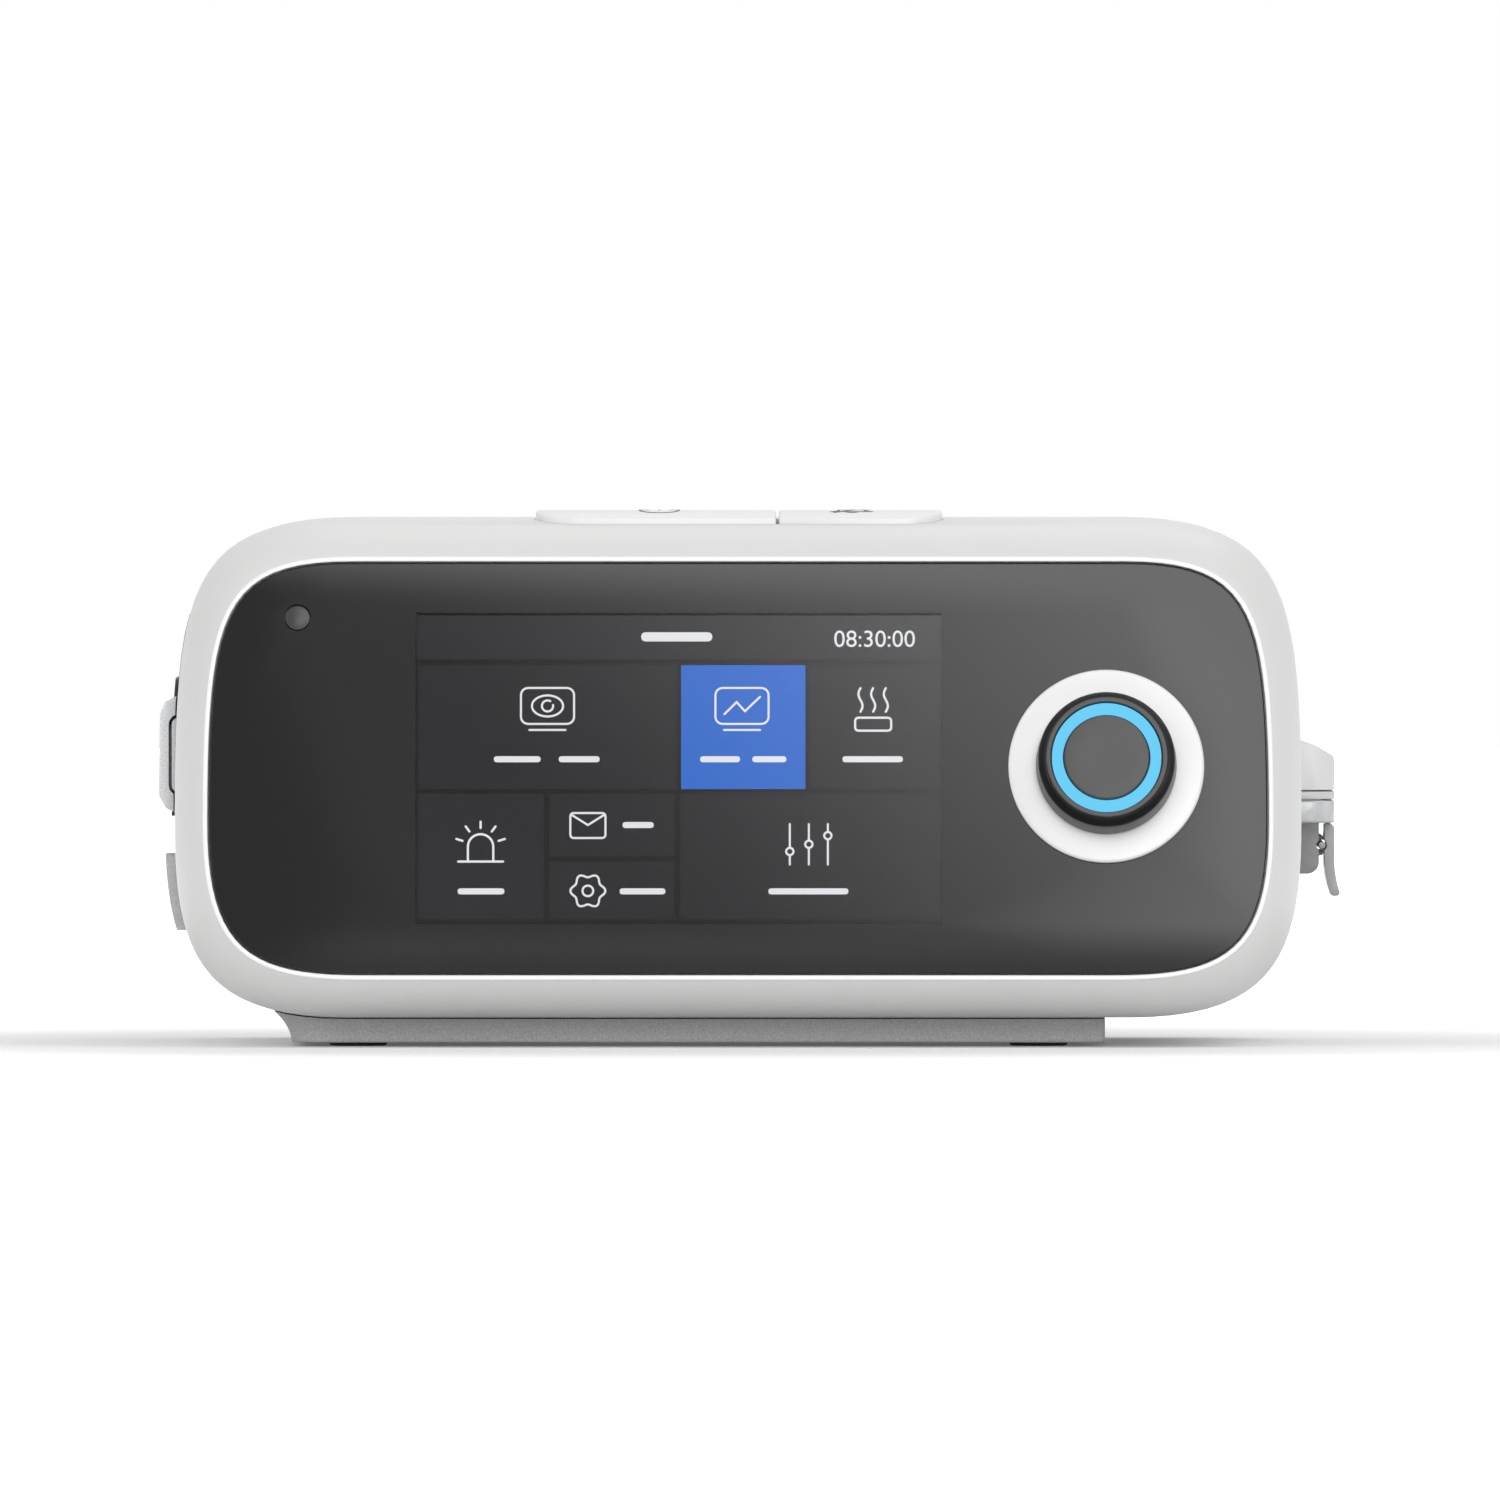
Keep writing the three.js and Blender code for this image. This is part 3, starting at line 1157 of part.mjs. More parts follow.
add("impeller", cut(
  join(
    rod("z", impeller.radius, impellerBottom, impellerBottom + impeller.plate, blowerPlace, 20),
    rod("z", impeller.hub, impellerBottom, bladeTop, blowerPlace, 12),
    ...blades,
  ),
  rod("z", motor.shaft + gap, impellerBottom - overrun, bladeTop + overrun, blowerPlace, 12),
), whiteShell());
add("blower_mount", tube(
  "z", mountOuter, mountInner, mountBottom, motor.bottom - gap, blowerPlace,
), greyRubber());

// Air path: the duct to the bay with its flow sensor, the silencer before the blower, and the
// elbow from the bay to the outlet.
add("blower_duct", tube(
  "x", volute.duct, volute.duct - volute.wall, ductStart + gap, ductEnd,
  [0, volute.outletY, blower.level], 16,
), darkPlastic());
const sensor = { shares: [0.13, 0.77], halfWidth: 6, height: 6 }; // shares of the duct's length
const sensorX = sensor.shares.map((share) => ductStart + share * (ductEnd - ductStart));
const sensorBottom = blower.level + volute.duct + gap;
add("flow_sensor", boxBetween(
  [sensorX[0], volute.outletY - sensor.halfWidth, sensorBottom],
  [sensorX[1], volute.outletY + sensor.halfWidth, sensorBottom + sensor.height],
), circuitBoard());
const silencerPlace = { reach: 20, top: 4 }; // past the blower's middle, and below the board
const silencer = {
  x: [sleeveX + gap, blower.x + silencerPlace.reach], y: filterOpening.y,
  neck: blower.x - blower.radius - wall,
  bottom: sleeve.z[0], top: boardLevel - silencerPlace.top, inlet: 9, corner: 4,
};
const silencerNeckZ = volute.top + gap;
add("inlet_silencer", cut(
  extrude("y", polygon([
    [silencer.x[0], silencer.bottom],
    [silencer.neck, silencer.bottom],
    [silencer.neck, silencerNeckZ],
    [silencer.x[1], silencerNeckZ],
    [silencer.x[1], silencer.top - silencer.corner],
    [silencer.x[1] - silencer.corner, silencer.top],
    [silencer.x[0] + silencer.corner, silencer.top],
    [silencer.x[0], silencer.top - silencer.corner],
  ]), silencer.y[0], silencer.y[1]),
  rod("x", silencer.inlet, silencer.x[0] - overrun, silencer.neck - silencer.corner,
    [0, blower.y, silencer.bottom + silencer.inlet + wall], 12),
  rod("z", volute.inlet, silencerNeckZ - overrun, silencer.top - silencer.corner, blowerPlace, 16),
), darkPlastic());

class ElbowPath extends THREE.Curve {
  constructor(extra) {
    super();
    this.extra = extra;
  }
  getPoint(t, target = new THREE.Vector3()) {
    const startX = bay.x - gap;
    const endY = outletInner - gap;
    const centre = [outlet.x + elbow.bend, airPort.y[1] + elbow.bend];
    const first = startX + this.extra - centre[0];
    const turn = (elbow.bend * Math.PI) / 2;
    const last = endY + this.extra - centre[1];
    const way = t * (first + turn + last);
    if (way < first) return target.set(startX + this.extra - way, airPort.y[1], airPort.level);
    if (way > first + turn)
      return target.set(outlet.x, centre[1] + way - first - turn, outlet.level);
    const angle = (way - first) / elbow.bend;
    return target.set(
      centre[0] - elbow.bend * Math.sin(angle),
      centre[1] - elbow.bend * Math.cos(angle),
      airPort.level,
    );
  }
}
function pipe(radius, extra) {
  const circle = Array.from({ length: elbow.sides }, (_, i) => {
    const angle = (i / elbow.sides) * 2 * Math.PI;
    return [radius * Math.cos(angle), radius * Math.sin(angle)];
  });
  return closed(new THREE.ExtrudeGeometry(polygon(circle), {
    extrudePath: new ElbowPath(extra), steps: elbow.steps,
  }));
}
add("outlet_elbow", cut(pipe(elbow.outer, 0), pipe(elbow.bore, overrun)), darkPlastic());

// Main board under the top wall, with its larger parts hanging below it, and the loudspeaker.
const chokeHeight = 12;
const transformerHeight = 16;
const coolerHeight = 9;
const boardParts = [ // as shares of the board's right half and of its width
  { xShares: [0.4, 0.72], yShares: [0.14, 0.55], height: chokeHeight },
  { xShares: [0.77, 0.93], yShares: [0.11, 0.39], height: transformerHeight },
  { xShares: [0.12, 0.3], yShares: [0.39, 0.67], height: coolerHeight },
];
const boardWidth = mainBoard.y[1] - mainBoard.y[0];
add("main_board", join(
  extrude("z", roundedRectangle(-boardX, boardX, ...mainBoard.y, mainBoard.corner),
    boardLevel, boardLevel + boardThickness, 2),
  ...boardParts.map(({ xShares, yShares, height }) => boxBetween(
    [boardX * xShares[0], mainBoard.y[0] + boardWidth * yShares[0], boardLevel - height],
    [boardX * xShares[1], mainBoard.y[0] + boardWidth * yShares[1], boardLevel + boardThickness / 2],
  )),
), circuitBoard());
const speakerPlace = { side: 49.8, front: 20 };
const speaker = {
  x: speakerPlace.side - bodyHalfWidth, y: frontDepth + speakerPlace.front,
  radius: 13, cone: 10, height: 8, coneShare: 0.6,
};
const speakerBottom = floorTop + gap;
add("speaker", cut(
  rod("z", speaker.radius, speakerBottom, speakerBottom + speaker.height, [speaker.x, speaker.y, 0], 20),
  rod("z", speaker.cone, speakerBottom + speaker.height * speaker.coneShare, farX,
    [speaker.x, speaker.y, 0], 16),
), darkMetal());

// The origin is the bottom centre of the machine's own box.
machine.updateMatrixWorld(true);
const box = new THREE.Box3().setFromObject(machine, true);
const middle = box.getCenter(new THREE.Vector3());
machine.position.set(-middle.x, -middle.y, -box.min.z);

export default machine;
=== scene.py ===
import math

import bmesh
import bpy
from mathutils import Matrix, Vector


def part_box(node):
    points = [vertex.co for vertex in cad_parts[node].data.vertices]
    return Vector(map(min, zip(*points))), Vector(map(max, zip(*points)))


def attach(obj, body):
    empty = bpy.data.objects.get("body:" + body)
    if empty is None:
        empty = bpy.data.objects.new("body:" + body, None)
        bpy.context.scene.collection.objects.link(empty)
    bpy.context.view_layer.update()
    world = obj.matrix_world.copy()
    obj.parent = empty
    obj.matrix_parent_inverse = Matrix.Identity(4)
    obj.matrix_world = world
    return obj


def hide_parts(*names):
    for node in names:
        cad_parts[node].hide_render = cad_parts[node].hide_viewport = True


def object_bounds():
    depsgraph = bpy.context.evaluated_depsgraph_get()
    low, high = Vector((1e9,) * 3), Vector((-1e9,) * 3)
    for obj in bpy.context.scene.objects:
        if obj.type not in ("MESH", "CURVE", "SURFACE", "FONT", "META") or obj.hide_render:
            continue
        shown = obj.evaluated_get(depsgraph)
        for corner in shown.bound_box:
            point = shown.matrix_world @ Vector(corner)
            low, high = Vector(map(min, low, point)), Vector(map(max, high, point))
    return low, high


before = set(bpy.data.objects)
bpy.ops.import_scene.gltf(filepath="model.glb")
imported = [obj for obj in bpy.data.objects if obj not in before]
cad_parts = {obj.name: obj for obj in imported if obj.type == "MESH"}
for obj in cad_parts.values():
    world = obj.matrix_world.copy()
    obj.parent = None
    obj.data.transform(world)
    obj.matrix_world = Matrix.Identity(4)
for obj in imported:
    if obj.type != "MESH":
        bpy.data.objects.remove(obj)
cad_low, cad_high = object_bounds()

# Camera. A long lens looks almost level at the leaning panel, so that the front shows nearly
# without perspective.
mm = 0.001
lean = math.radians(10.5)
widest = 46.3 * mm  # the level where the body is widest
shell_low, shell_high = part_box("upper_housing")
lens_low, lens_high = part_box("display_lens")
middle_x = (shell_low.x + shell_high.x) / 2
panel_y = lens_low.y + (widest - lens_low.z) * math.tan(lean)
picture_width = 307.5 * mm
picture_middle = Vector((-0.1 * mm, panel_y, 61.1 * mm))
camera_distance = 9.0
camera_rise = math.radians(0.5)

bpy.context.scene.view_settings.view_transform = "Standard"
bpy.ops.object.select_all(action="DESELECT")
back = Vector((0, -math.cos(camera_rise), math.sin(camera_rise)))
bpy.ops.object.camera_add(location=picture_middle + back * camera_distance)
camera = bpy.context.object
camera.name = "camera"
camera.rotation_euler = (math.pi / 2 - camera_rise, 0, 0)
camera.data.lens = camera.data.sensor_width * camera_distance / picture_width
camera.data.clip_start = 0.1
camera.data.clip_end = 20
bpy.context.scene.camera = camera


def material(name, colour, roughness=0.5, **sockets):
    """A material with one Principled BSDF, whose plain sockets are set here."""
    made = bpy.data.materials.new(name)
    made.use_nodes = True
    shader = made.node_tree.nodes["Principled BSDF"]
    shader.inputs["Base Color"].default_value = (*colour, 1)
    shader.inputs["Roughness"].default_value = roughness
    for socket, value in sockets.items():
        shader.inputs[socket.replace("_", " ")].default_value = value
    return made


# Floor. A white sweep of paper that the machine stands on; it looks white to the camera and in reflections,
# and keeps the soft shadow under the pedestal. Round the machine it glows less, which leaves a painted grey
# pool of shade there.
floor_size = 14.0
floor_colour = (0.9, 0.9, 0.9)
# The paper's glow is least round the machine and grows outwards: this evens out the lamps' fall-off, and
# leaves a painted grey pool of shade round the machine.
floor_lift = 0.1  # brings the lit paper up to plain white
floor_near = 0.14  # from here outwards the paper glows more, as the lamps reach it less
floor_far = 0.45


def maths(tree, operation, first, second, clamp=False):
    """The result of a Math node on two values, each a number or another node's output."""
    made = tree.nodes.new("ShaderNodeMath")
    made.operation = operation
    made.use_clamp = clamp
    for value, socket in zip((first, second), made.inputs):
        if isinstance(value, bpy.types.NodeSocket):
            tree.links.new(value, socket)
        else:
            socket.default_value = value
    return made.outputs["Value"]


def map_range(tree, value, low, high, start=0.0, end=1.0, smooth=False):
    """The result of a Map Range node that brings a value between start and end to low and high."""
    made = tree.nodes.new("ShaderNodeMapRange")
    if smooth:
        made.interpolation_type = "SMOOTHSTEP"
    tree.links.new(value, made.inputs["Value"])
    for name, number in (("From Min", start), ("From Max", end), ("To Min", low), ("To Max", high)):
        made.inputs[name].default_value = number
    return made.outputs["Result"]


def object_place(tree):
    """A point's place on the object, on which all the patterns lie."""
    return tree.nodes.new("ShaderNodeTexCoord").outputs["Object"]


def paper(name, lift):
    """White paper that glows a little round the machine, where its greyer tone is a painted soft shade, and
    up to plain white further out.
    """
    made = material(name, floor_colour, 0.9)
    tree = made.node_tree
    shader = tree.nodes["Principled BSDF"]
    shader.inputs["Emission Color"].default_value = (1, 1, 1, 1)
    ray = tree.nodes.new("ShaderNodeLightPath").outputs
    seen = maths(tree, "ADD", ray["Is Camera Ray"], ray["Is Glossy Ray"], clamp=True)
    length = tree.nodes.new("ShaderNodeVectorMath")
    length.operation = "LENGTH"
    tree.links.new(object_place(tree), length.inputs[0])
    spread = map_range(tree, length.outputs["Value"], lift, 1.0, floor_near, floor_far, smooth=True)
    tree.links.new(maths(tree, "MULTIPLY", seen, spread), shader.inputs["Emission Strength"])
    return made


bpy.ops.mesh.primitive_plane_add(size=floor_size, location=(0, 0, 0))
floor = bpy.context.object
floor.name = "floor"
floor.data.materials.append(paper("paper", floor_lift))

# Surroundings and lamps. An even pale room, one broad lamp above and in front at the right, weaker
# ones at the left, behind and far in front, all large so that the shadows stay soft.
world = bpy.data.worlds.new("room")
world.use_nodes = True
bpy.context.scene.world = world
room_level = 0.62
room = world.node_tree
backdrop = room.nodes["Background"]
backdrop.inputs["Color"].default_value = (1, 1, 1, 1)
ray = room.nodes.new("ShaderNodeLightPath").outputs
seen = maths(room, "MAXIMUM", ray["Is Camera Ray"], ray["Is Transmission Ray"])
seen = maths(room, "MAXIMUM", seen, ray["Is Glossy Ray"])
room.links.new(map_range(room, seen, room_level, 1.0), backdrop.inputs["Strength"])
lamp_aim = Vector((0, 0, 0.05))


def lamp(name, place, size, power):
    """A square soft box, with its size in metres and its power in watts, that faces the machine."""
    bpy.ops.object.light_add(type="AREA", location=place)
    made = bpy.context.object
    made.name = name
    made.data.shape = "SQUARE"
    made.data.size = size
    made.data.energy = power
    made.rotation_euler = (lamp_aim - Vector(place)).to_track_quat("-Z", "Y").to_euler()


lamp("lamp_right", (0.8, -0.8, 1.3), 0.9, 3.8)
lamp("lamp_left", (-1.1, -0.8, 0.7), 0.8, 2.0)
lamp("lamp_behind", (0.2, 1.0, 1.1), 0.8, 1.6)
lamp("lamp_front", (0.2, -2.6, 0.6), 0.7, 15)

# Front housing. The white ring round the panel is one moulding of satin ABS: a thin bright lip,
# then a roll that turns back to the seam with the main housing. The lip and seam edges are broken
# by a small radius, and the keys' opening goes through its top.
fit = 0.3 * mm  # between pieces that touch
shell_wall = 2.4 * mm
lip_width = 1.0 * mm
lip_proud = 0.6 * mm
roll_depth = 24 * mm
roll_slope = math.radians(65)
front_depth = 38 * mm
ledge_depth = 2.3 * mm  # of the ledge that the lens lies on
ledge_back = 4.3 * mm
ledge_reach = 3 * mm
lip_root = 6.3 * mm  # where the lip's inner side meets the ledge
roll_inside = 10 * mm
edge_radius = 0.35 * mm
seam_edge_radius = 0.3 * mm
merge_distance = 0.0002 * mm
panel_origin = Vector((middle_x, panel_y, widest))
panel_facing = Vector((0, -math.cos(lean), math.sin(lean)))
body_half = (shell_high.x - shell_low.x) / 2
body_rise = shell_high.z - widest
body_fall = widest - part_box("lower_housing")[0].z
panel_half = (lens_high.x - lens_low.x) / 2
panel_rise = lens_high.z - widest
panel_fall = widest - lens_low.z
corner_steps = 20
# Upper and lower corners: the flat share of the width, then how far the two handles of the
# corner's curve reach.
body_shares = ((0.688, 0.747, 0.945), (0.697, 0.638, 0.88))
panel_shares = ((0.732, 0.796, 0.918), (0.714, 0.843, 0.717))


def corner(half, height, shares, inset):
    """One corner of an outline, from its side to its top, as a cubic curve moved inwards."""
    flat, side, top = shares
    flat_x = half * flat
    ends = [Vector((half, 0)), Vector((half, height * side)),
            Vector((flat_x + (half - flat_x) * top, height)), Vector((flat_x, height))]
    points = []
    for step in range(corner_steps + 1):
        t = step / corner_steps
        u = 1 - t
        place = ends[0] * u**3 + ends[1] * (3 * u * u * t) + ends[2] * (3 * u * t * t) + ends[3] * t**3
        along = ((ends[1] - ends[0]) * (u * u) + (ends[2] - ends[1]) * (2 * u * t)
                 + (ends[3] - ends[2]) * (t * t))
        along.normalize()
        points.append(Vector((place.x - along.y * inset, place.y + along.x * inset)))
    return points


def outline(half, rise, fall, shares, inset=0.0):
    """A closed outline round the middle of its widest level, anticlockwise from the right."""
    upper = corner(half, rise, shares[0], inset)
    lower = corner(half, fall, shares[1], inset)
    return (
        upper
        + [Vector((-p.x, p.y)) for p in reversed(upper)]
        + [Vector((-p.x, -p.y)) for p in lower[1:]]
        + [Vector((p.x, -p.y)) for p in reversed(lower[1:])]
    )


def body_outline(inset=0.0):
    """The outline of the housings."""
    return outline(body_half, body_rise, body_fall, body_shares, inset)


def panel_outline(inset=0.0):
    """The outline of the lens."""
    return outline(panel_half, panel_rise, panel_fall, panel_shares, inset)


def leaning(points, depth):
    """An outline laid in the leaning plane, so far behind the face of the lens."""
    slope = math.tan(lean)
    return [Vector((middle_x + p.x, panel_y + p.y * slope + depth, widest + p.y)) for p in points]


def upright(points, y):
    """An outline laid in an upright plane."""
    return [Vector((middle_x + p.x, y, widest + p.y)) for p in points]


def loft(name, rings, looped=False):
    """A skin drawn through rings of points: a circle is moved onto the first ring, and each next ring
    is extruded from the last. A looped skin closes on its first ring, any other gets two end faces."""
    bpy.ops.object.select_all(action="DESELECT")
    bpy.ops.mesh.primitive_circle_add(vertices=len(rings[0]), radius=1)
    made = bpy.context.object
    made.name = name
    bpy.ops.object.mode_set(mode="EDIT")
    bpy.ops.mesh.select_mode(type="EDGE")
    mesh = bmesh.from_edit_mesh(made.data)
    order = {}  # which point of a ring each vertex stands on
    for vertex in mesh.verts:
        order[vertex.index] = vertex.index
        vertex.co = rings[0][vertex.index]
    bpy.ops.mesh.select_all(action="SELECT")
    for ring in rings[1:]:
        bpy.ops.mesh.extrude_edges_move()
        mesh.verts.index_update()
        for vertex in [v for v in mesh.verts if v.select]:
            others = [edge.other_vert(vertex) for edge in vertex.link_edges]
            order[vertex.index] = next(order[other.index] for other in others if not other.select)
            vertex.co = ring[order[vertex.index]]
    bpy.ops.mesh.select_all(action="DESELECT")
    for edge in mesh.edges:
        if len(edge.link_faces) == 1:
            edge.select = True
    if looped:
        bpy.ops.mesh.bridge_edge_loops()
    else:
        bpy.ops.mesh.edge_face_add()
    bpy.ops.mesh.select_all(action="SELECT")
    bpy.ops.mesh.normals_make_consistent(inside=False)
    bpy.ops.object.mode_set(mode="OBJECT")
    return made


def combine(piece, operation, *tools):
    """Cuts the tools out of the piece, adds them or keeps what both share, and deletes the tools."""
    for tool in tools:
        bpy.context.view_layer.objects.active = piece
        boolean = piece.modifiers.new("boolean", "BOOLEAN")
        boolean.operation = operation
        boolean.solver = "EXACT"
        boolean.object = tool
        bpy.ops.object.modifier_apply(modifier=boolean.name)
        bpy.data.objects.remove(tool)


def cut_away(piece, *tools):
    """Cuts the tools out of the piece."""
    combine(piece, "DIFFERENCE", *tools)


def pick(piece):
    """Makes the piece the only selected object and the active one."""
    bpy.ops.object.select_all(action="DESELECT")
    piece.select_set(True)
    bpy.context.view_layer.objects.active = piece


def keep_place():
    """Puts the place, turn and size of what is selected into its mesh."""
    bpy.ops.object.transform_apply(location=True, rotation=True, scale=True)


def weld(piece):
    """Merges what lies together, takes out slivers folded onto themselves, and turns the faces out."""
    mesh = bmesh.new()
    mesh.from_mesh(piece.data)
    bmesh.ops.remove_doubles(mesh, verts=mesh.verts, dist=merge_distance)
    bmesh.ops.triangulate(mesh, faces=mesh.faces)
    twins = {}
    for face in mesh.faces:
        twins.setdefault(frozenset(vertex.index for vertex in face.verts), []).append(face)
    folded = [face for faces in twins.values() if len(faces) > 1 for face in faces]
    bmesh.ops.delete(mesh, geom=folded, context="FACES")
    if mesh.calc_volume(signed=True) < 0:
        bmesh.ops.reverse_faces(mesh, faces=mesh.faces)
    mesh.to_mesh(piece.data)
    mesh.free()


def settle(piece, body, slot, finish, *nodes, angle=35.0):
    """The last steps of every piece: smooth shading up to an angle, its place put into its mesh, its
    finish, the body that it rides on and the nodes that it stands for."""
    pick(piece)
    keep_place()
    weld(piece)
    bpy.ops.object.shade_smooth_by_angle(angle=math.radians(angle))
    piece.data.materials.clear()
    piece.data.materials.append(finish)
    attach(piece, body)
    if nodes:
        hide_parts(*nodes)
    return piece


def block(name, low, high):
    """A block between two corners."""
    low, high = Vector(low), Vector(high)
    bpy.ops.object.select_all(action="DESELECT")
    bpy.ops.mesh.primitive_cube_add(size=1, location=(low + high) / 2)
    made = bpy.context.object
    made.name = name
    made.scale = high - low
    keep_place()
    return made


def rounded_box(name, low, high, radius, axis="Z", segments=12):
    """A block whose edges along one axis are rounded."""
    made = block(name, low, high)
    bpy.ops.object.mode_set(mode="EDIT")
    bpy.ops.mesh.select_mode(type="EDGE")
    bpy.ops.mesh.select_all(action="DESELECT")
    mesh = bmesh.from_edit_mesh(made.data)
    along = "XYZ".index(axis)
    for edge in mesh.edges:
        span = edge.verts[1].co - edge.verts[0].co
        if abs(span[along]) > span.length / 2:
            edge.select = True
    bpy.ops.mesh.bevel(offset=radius, segments=segments, affect="EDGES")
    bpy.ops.object.mode_set(mode="OBJECT")
    return made


def break_edges(piece, width, segments=2, angle=50.0):
    """Gives the sharp edges of a moulding their small radius."""
    bpy.context.view_layer.objects.active = piece
    bevel = piece.modifiers.new("edges", "BEVEL")
    bevel.width = width
    bevel.segments = segments
    bevel.limit_method = "ANGLE"
    bevel.angle_limit = math.radians(angle)
    bpy.ops.object.modifier_apply(modifier=bevel.name)


def quarter(radius, steps=3):
    """Pairs of how far in and how far on a rounded edge has gone."""
    turns = [math.pi / 2 * step / steps for step in range(steps + 1)]
    return [(radius * (1 - math.cos(turn)), radius * math.sin(turn)) for turn in turns]


def roll_ring(share, depth, inset=0.0):
    """An outline part of the way from the body's to the lip's, so far behind the lens."""
    outer = body_outline(inset)
    lip = panel_outline(inset - fit - lip_width)
    return leaning([o.lerp(i, share) for o, i in zip(outer, lip)], depth)


roll_steps = 18
roll = []
for step in range(roll_steps + 1):
    turn = roll_slope * (1 - step / roll_steps)
    share = (1 - math.cos(turn)) / (1 - math.cos(roll_slope))
    roll.append(roll_ring(share, roll_depth * (1 - math.sin(turn) / math.sin(roll_slope))))
lip_edge = [
    leaning(panel_outline(-fit - step_in), -lip_proud + edge_radius - step_on)
    for step_in, step_on in quarter(edge_radius)
]
lip_back = [
    leaning(panel_outline(-fit - lip_width + edge_radius - step_on), -lip_proud + step_in)
    for step_in, step_on in reversed(quarter(edge_radius))
]
seam_edge = [
    leaning(body_outline(step_in), front_depth - edge_radius + step_on)
    for step_in, step_on in quarter(edge_radius)
]
front_housing = loft("front_housing_moulding", [
    leaning(panel_outline(ledge_reach), ledge_depth),
    leaning(panel_outline(-fit), ledge_depth),
    *lip_edge,
    *reversed(lip_back),
    *roll,
    *seam_edge,
    leaning(body_outline(shell_wall), front_depth),
    leaning(body_outline(shell_wall), roll_depth),
    roll_ring(0.5, roll_inside, shell_wall / 2),
    leaning(panel_outline(-lip_width), lip_root),
    leaning(panel_outline(ledge_reach), ledge_back),
], looped=True)

key_low, key_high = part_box("power_key")
key_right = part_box("alarm_mute_key")[1].x
key_flange = 1 * mm
key_play = 0.35 * mm
key_corner = 8.2 * mm
key_row_low = Vector((key_low.x + key_flange, key_low.y + key_flange, key_low.z))
key_row_high = Vector((key_right - key_flange, key_high.y - key_flange, key_high.z))
opening = rounded_box(
    "key_opening",
    key_row_low - Vector((key_play, key_play, 0)),
    key_row_high + Vector((key_play, key_play, key_flange)),
    key_corner + key_play, segments=16,
)
cut_away(front_housing, opening)

# Moulded plastics. One fine grain serves all mouldings: a soft height that spark-eroded tool steel
# leaves on them, and a second group speckles the grey and silver ones.
dot_peak = 0.8  # the noise at which a dot has its full colour


def new_group(name, inputs, outputs):
    """An empty node group with its inputs and outputs, all plain numbers."""
    group = bpy.data.node_groups.new(name, "ShaderNodeTree")
    for title, value in inputs:
        made = group.interface.new_socket(name=title, in_out="INPUT", socket_type="NodeSocketFloat")
        made.default_value = value
    for title in outputs:
        group.interface.new_socket(name=title, in_out="OUTPUT", socket_type="NodeSocketFloat")
    return group, group.nodes.new("NodeGroupInput").outputs, group.nodes.new("NodeGroupOutput").inputs


def noise(tree, scale, detail):
    """Noise of a scale over the object's own place."""
    made = tree.nodes.new("ShaderNodeTexNoise")
    made.inputs["Detail"].default_value = detail
    tree.links.new(scale, made.inputs["Scale"])
    tree.links.new(object_place(tree), made.inputs["Vector"])
    return made.outputs["Fac"]


def grain_group():
    """A height of fine grain, and a slow mask of wear and handling over a piece."""
    group, start, end = new_group(
        "fine_grain", (("Grain Size", 0.4), ("Patch Size", 30.0)), ("Height", "Patches"))
    for size, result in (("Grain Size", "Height"), ("Patch Size", "Patches")):
        scale = maths(group, "DIVIDE", 1 / mm, start[size])
        group.links.new(noise(group, scale, 3), end[result])
    return group


def speckle_group():
    """Two sets of small dots, dark and light, as masks."""
    group, start, end = new_group(
        "speckle", (("Dot Size", 0.5), ("Amount", 0.3)), ("Dark Dots", "Light Dots"))
    scale = maths(group, "DIVIDE", 1 / mm, start["Dot Size"])
    for factor, result in ((1.0, "Dark Dots"), (1.37, "Light Dots")):
        dots = noise(group, maths(group, "MULTIPLY", scale, factor), 1)
        mask = map_range(group, dots, 0.0, 1.0, 0.0, dot_peak, smooth=True)
        least = maths(group, "SUBTRACT", dot_peak, start["Amount"])
        group.links.new(least, mask.node.inputs["From Min"])
        group.links.new(mask, end[result])
    return group


fine_grain = grain_group()
speckle = speckle_group()


def mix_colour(made, factor, first, second):
    """A Mix node between two colours, of which the first may be another node's output."""
    mix = made.node_tree.nodes.new("ShaderNodeMix")
    mix.data_type = "RGBA"
    made.node_tree.links.new(factor, mix.inputs["Factor"])
    if isinstance(first, bpy.types.NodeSocket):
        made.node_tree.links.new(first, mix.inputs["A"])
    else:
        mix.inputs["A"].default_value = (*first, 1)
    mix.inputs["B"].default_value = (*second, 1)
    return mix.outputs["Result"]


def use_group(nodes, group, **values):
    """The outputs of a node group placed in a material, with its values there."""
    made = nodes.new("ShaderNodeGroup")
    made.node_tree = group
    for name, value in values.items():
        made.inputs[name.replace("_", " ")].default_value = value
    return made.outputs


def shaded(colour, share):
    """A colour made darker or lighter by a share."""
    return tuple(min(part * share, 1) for part in colour)


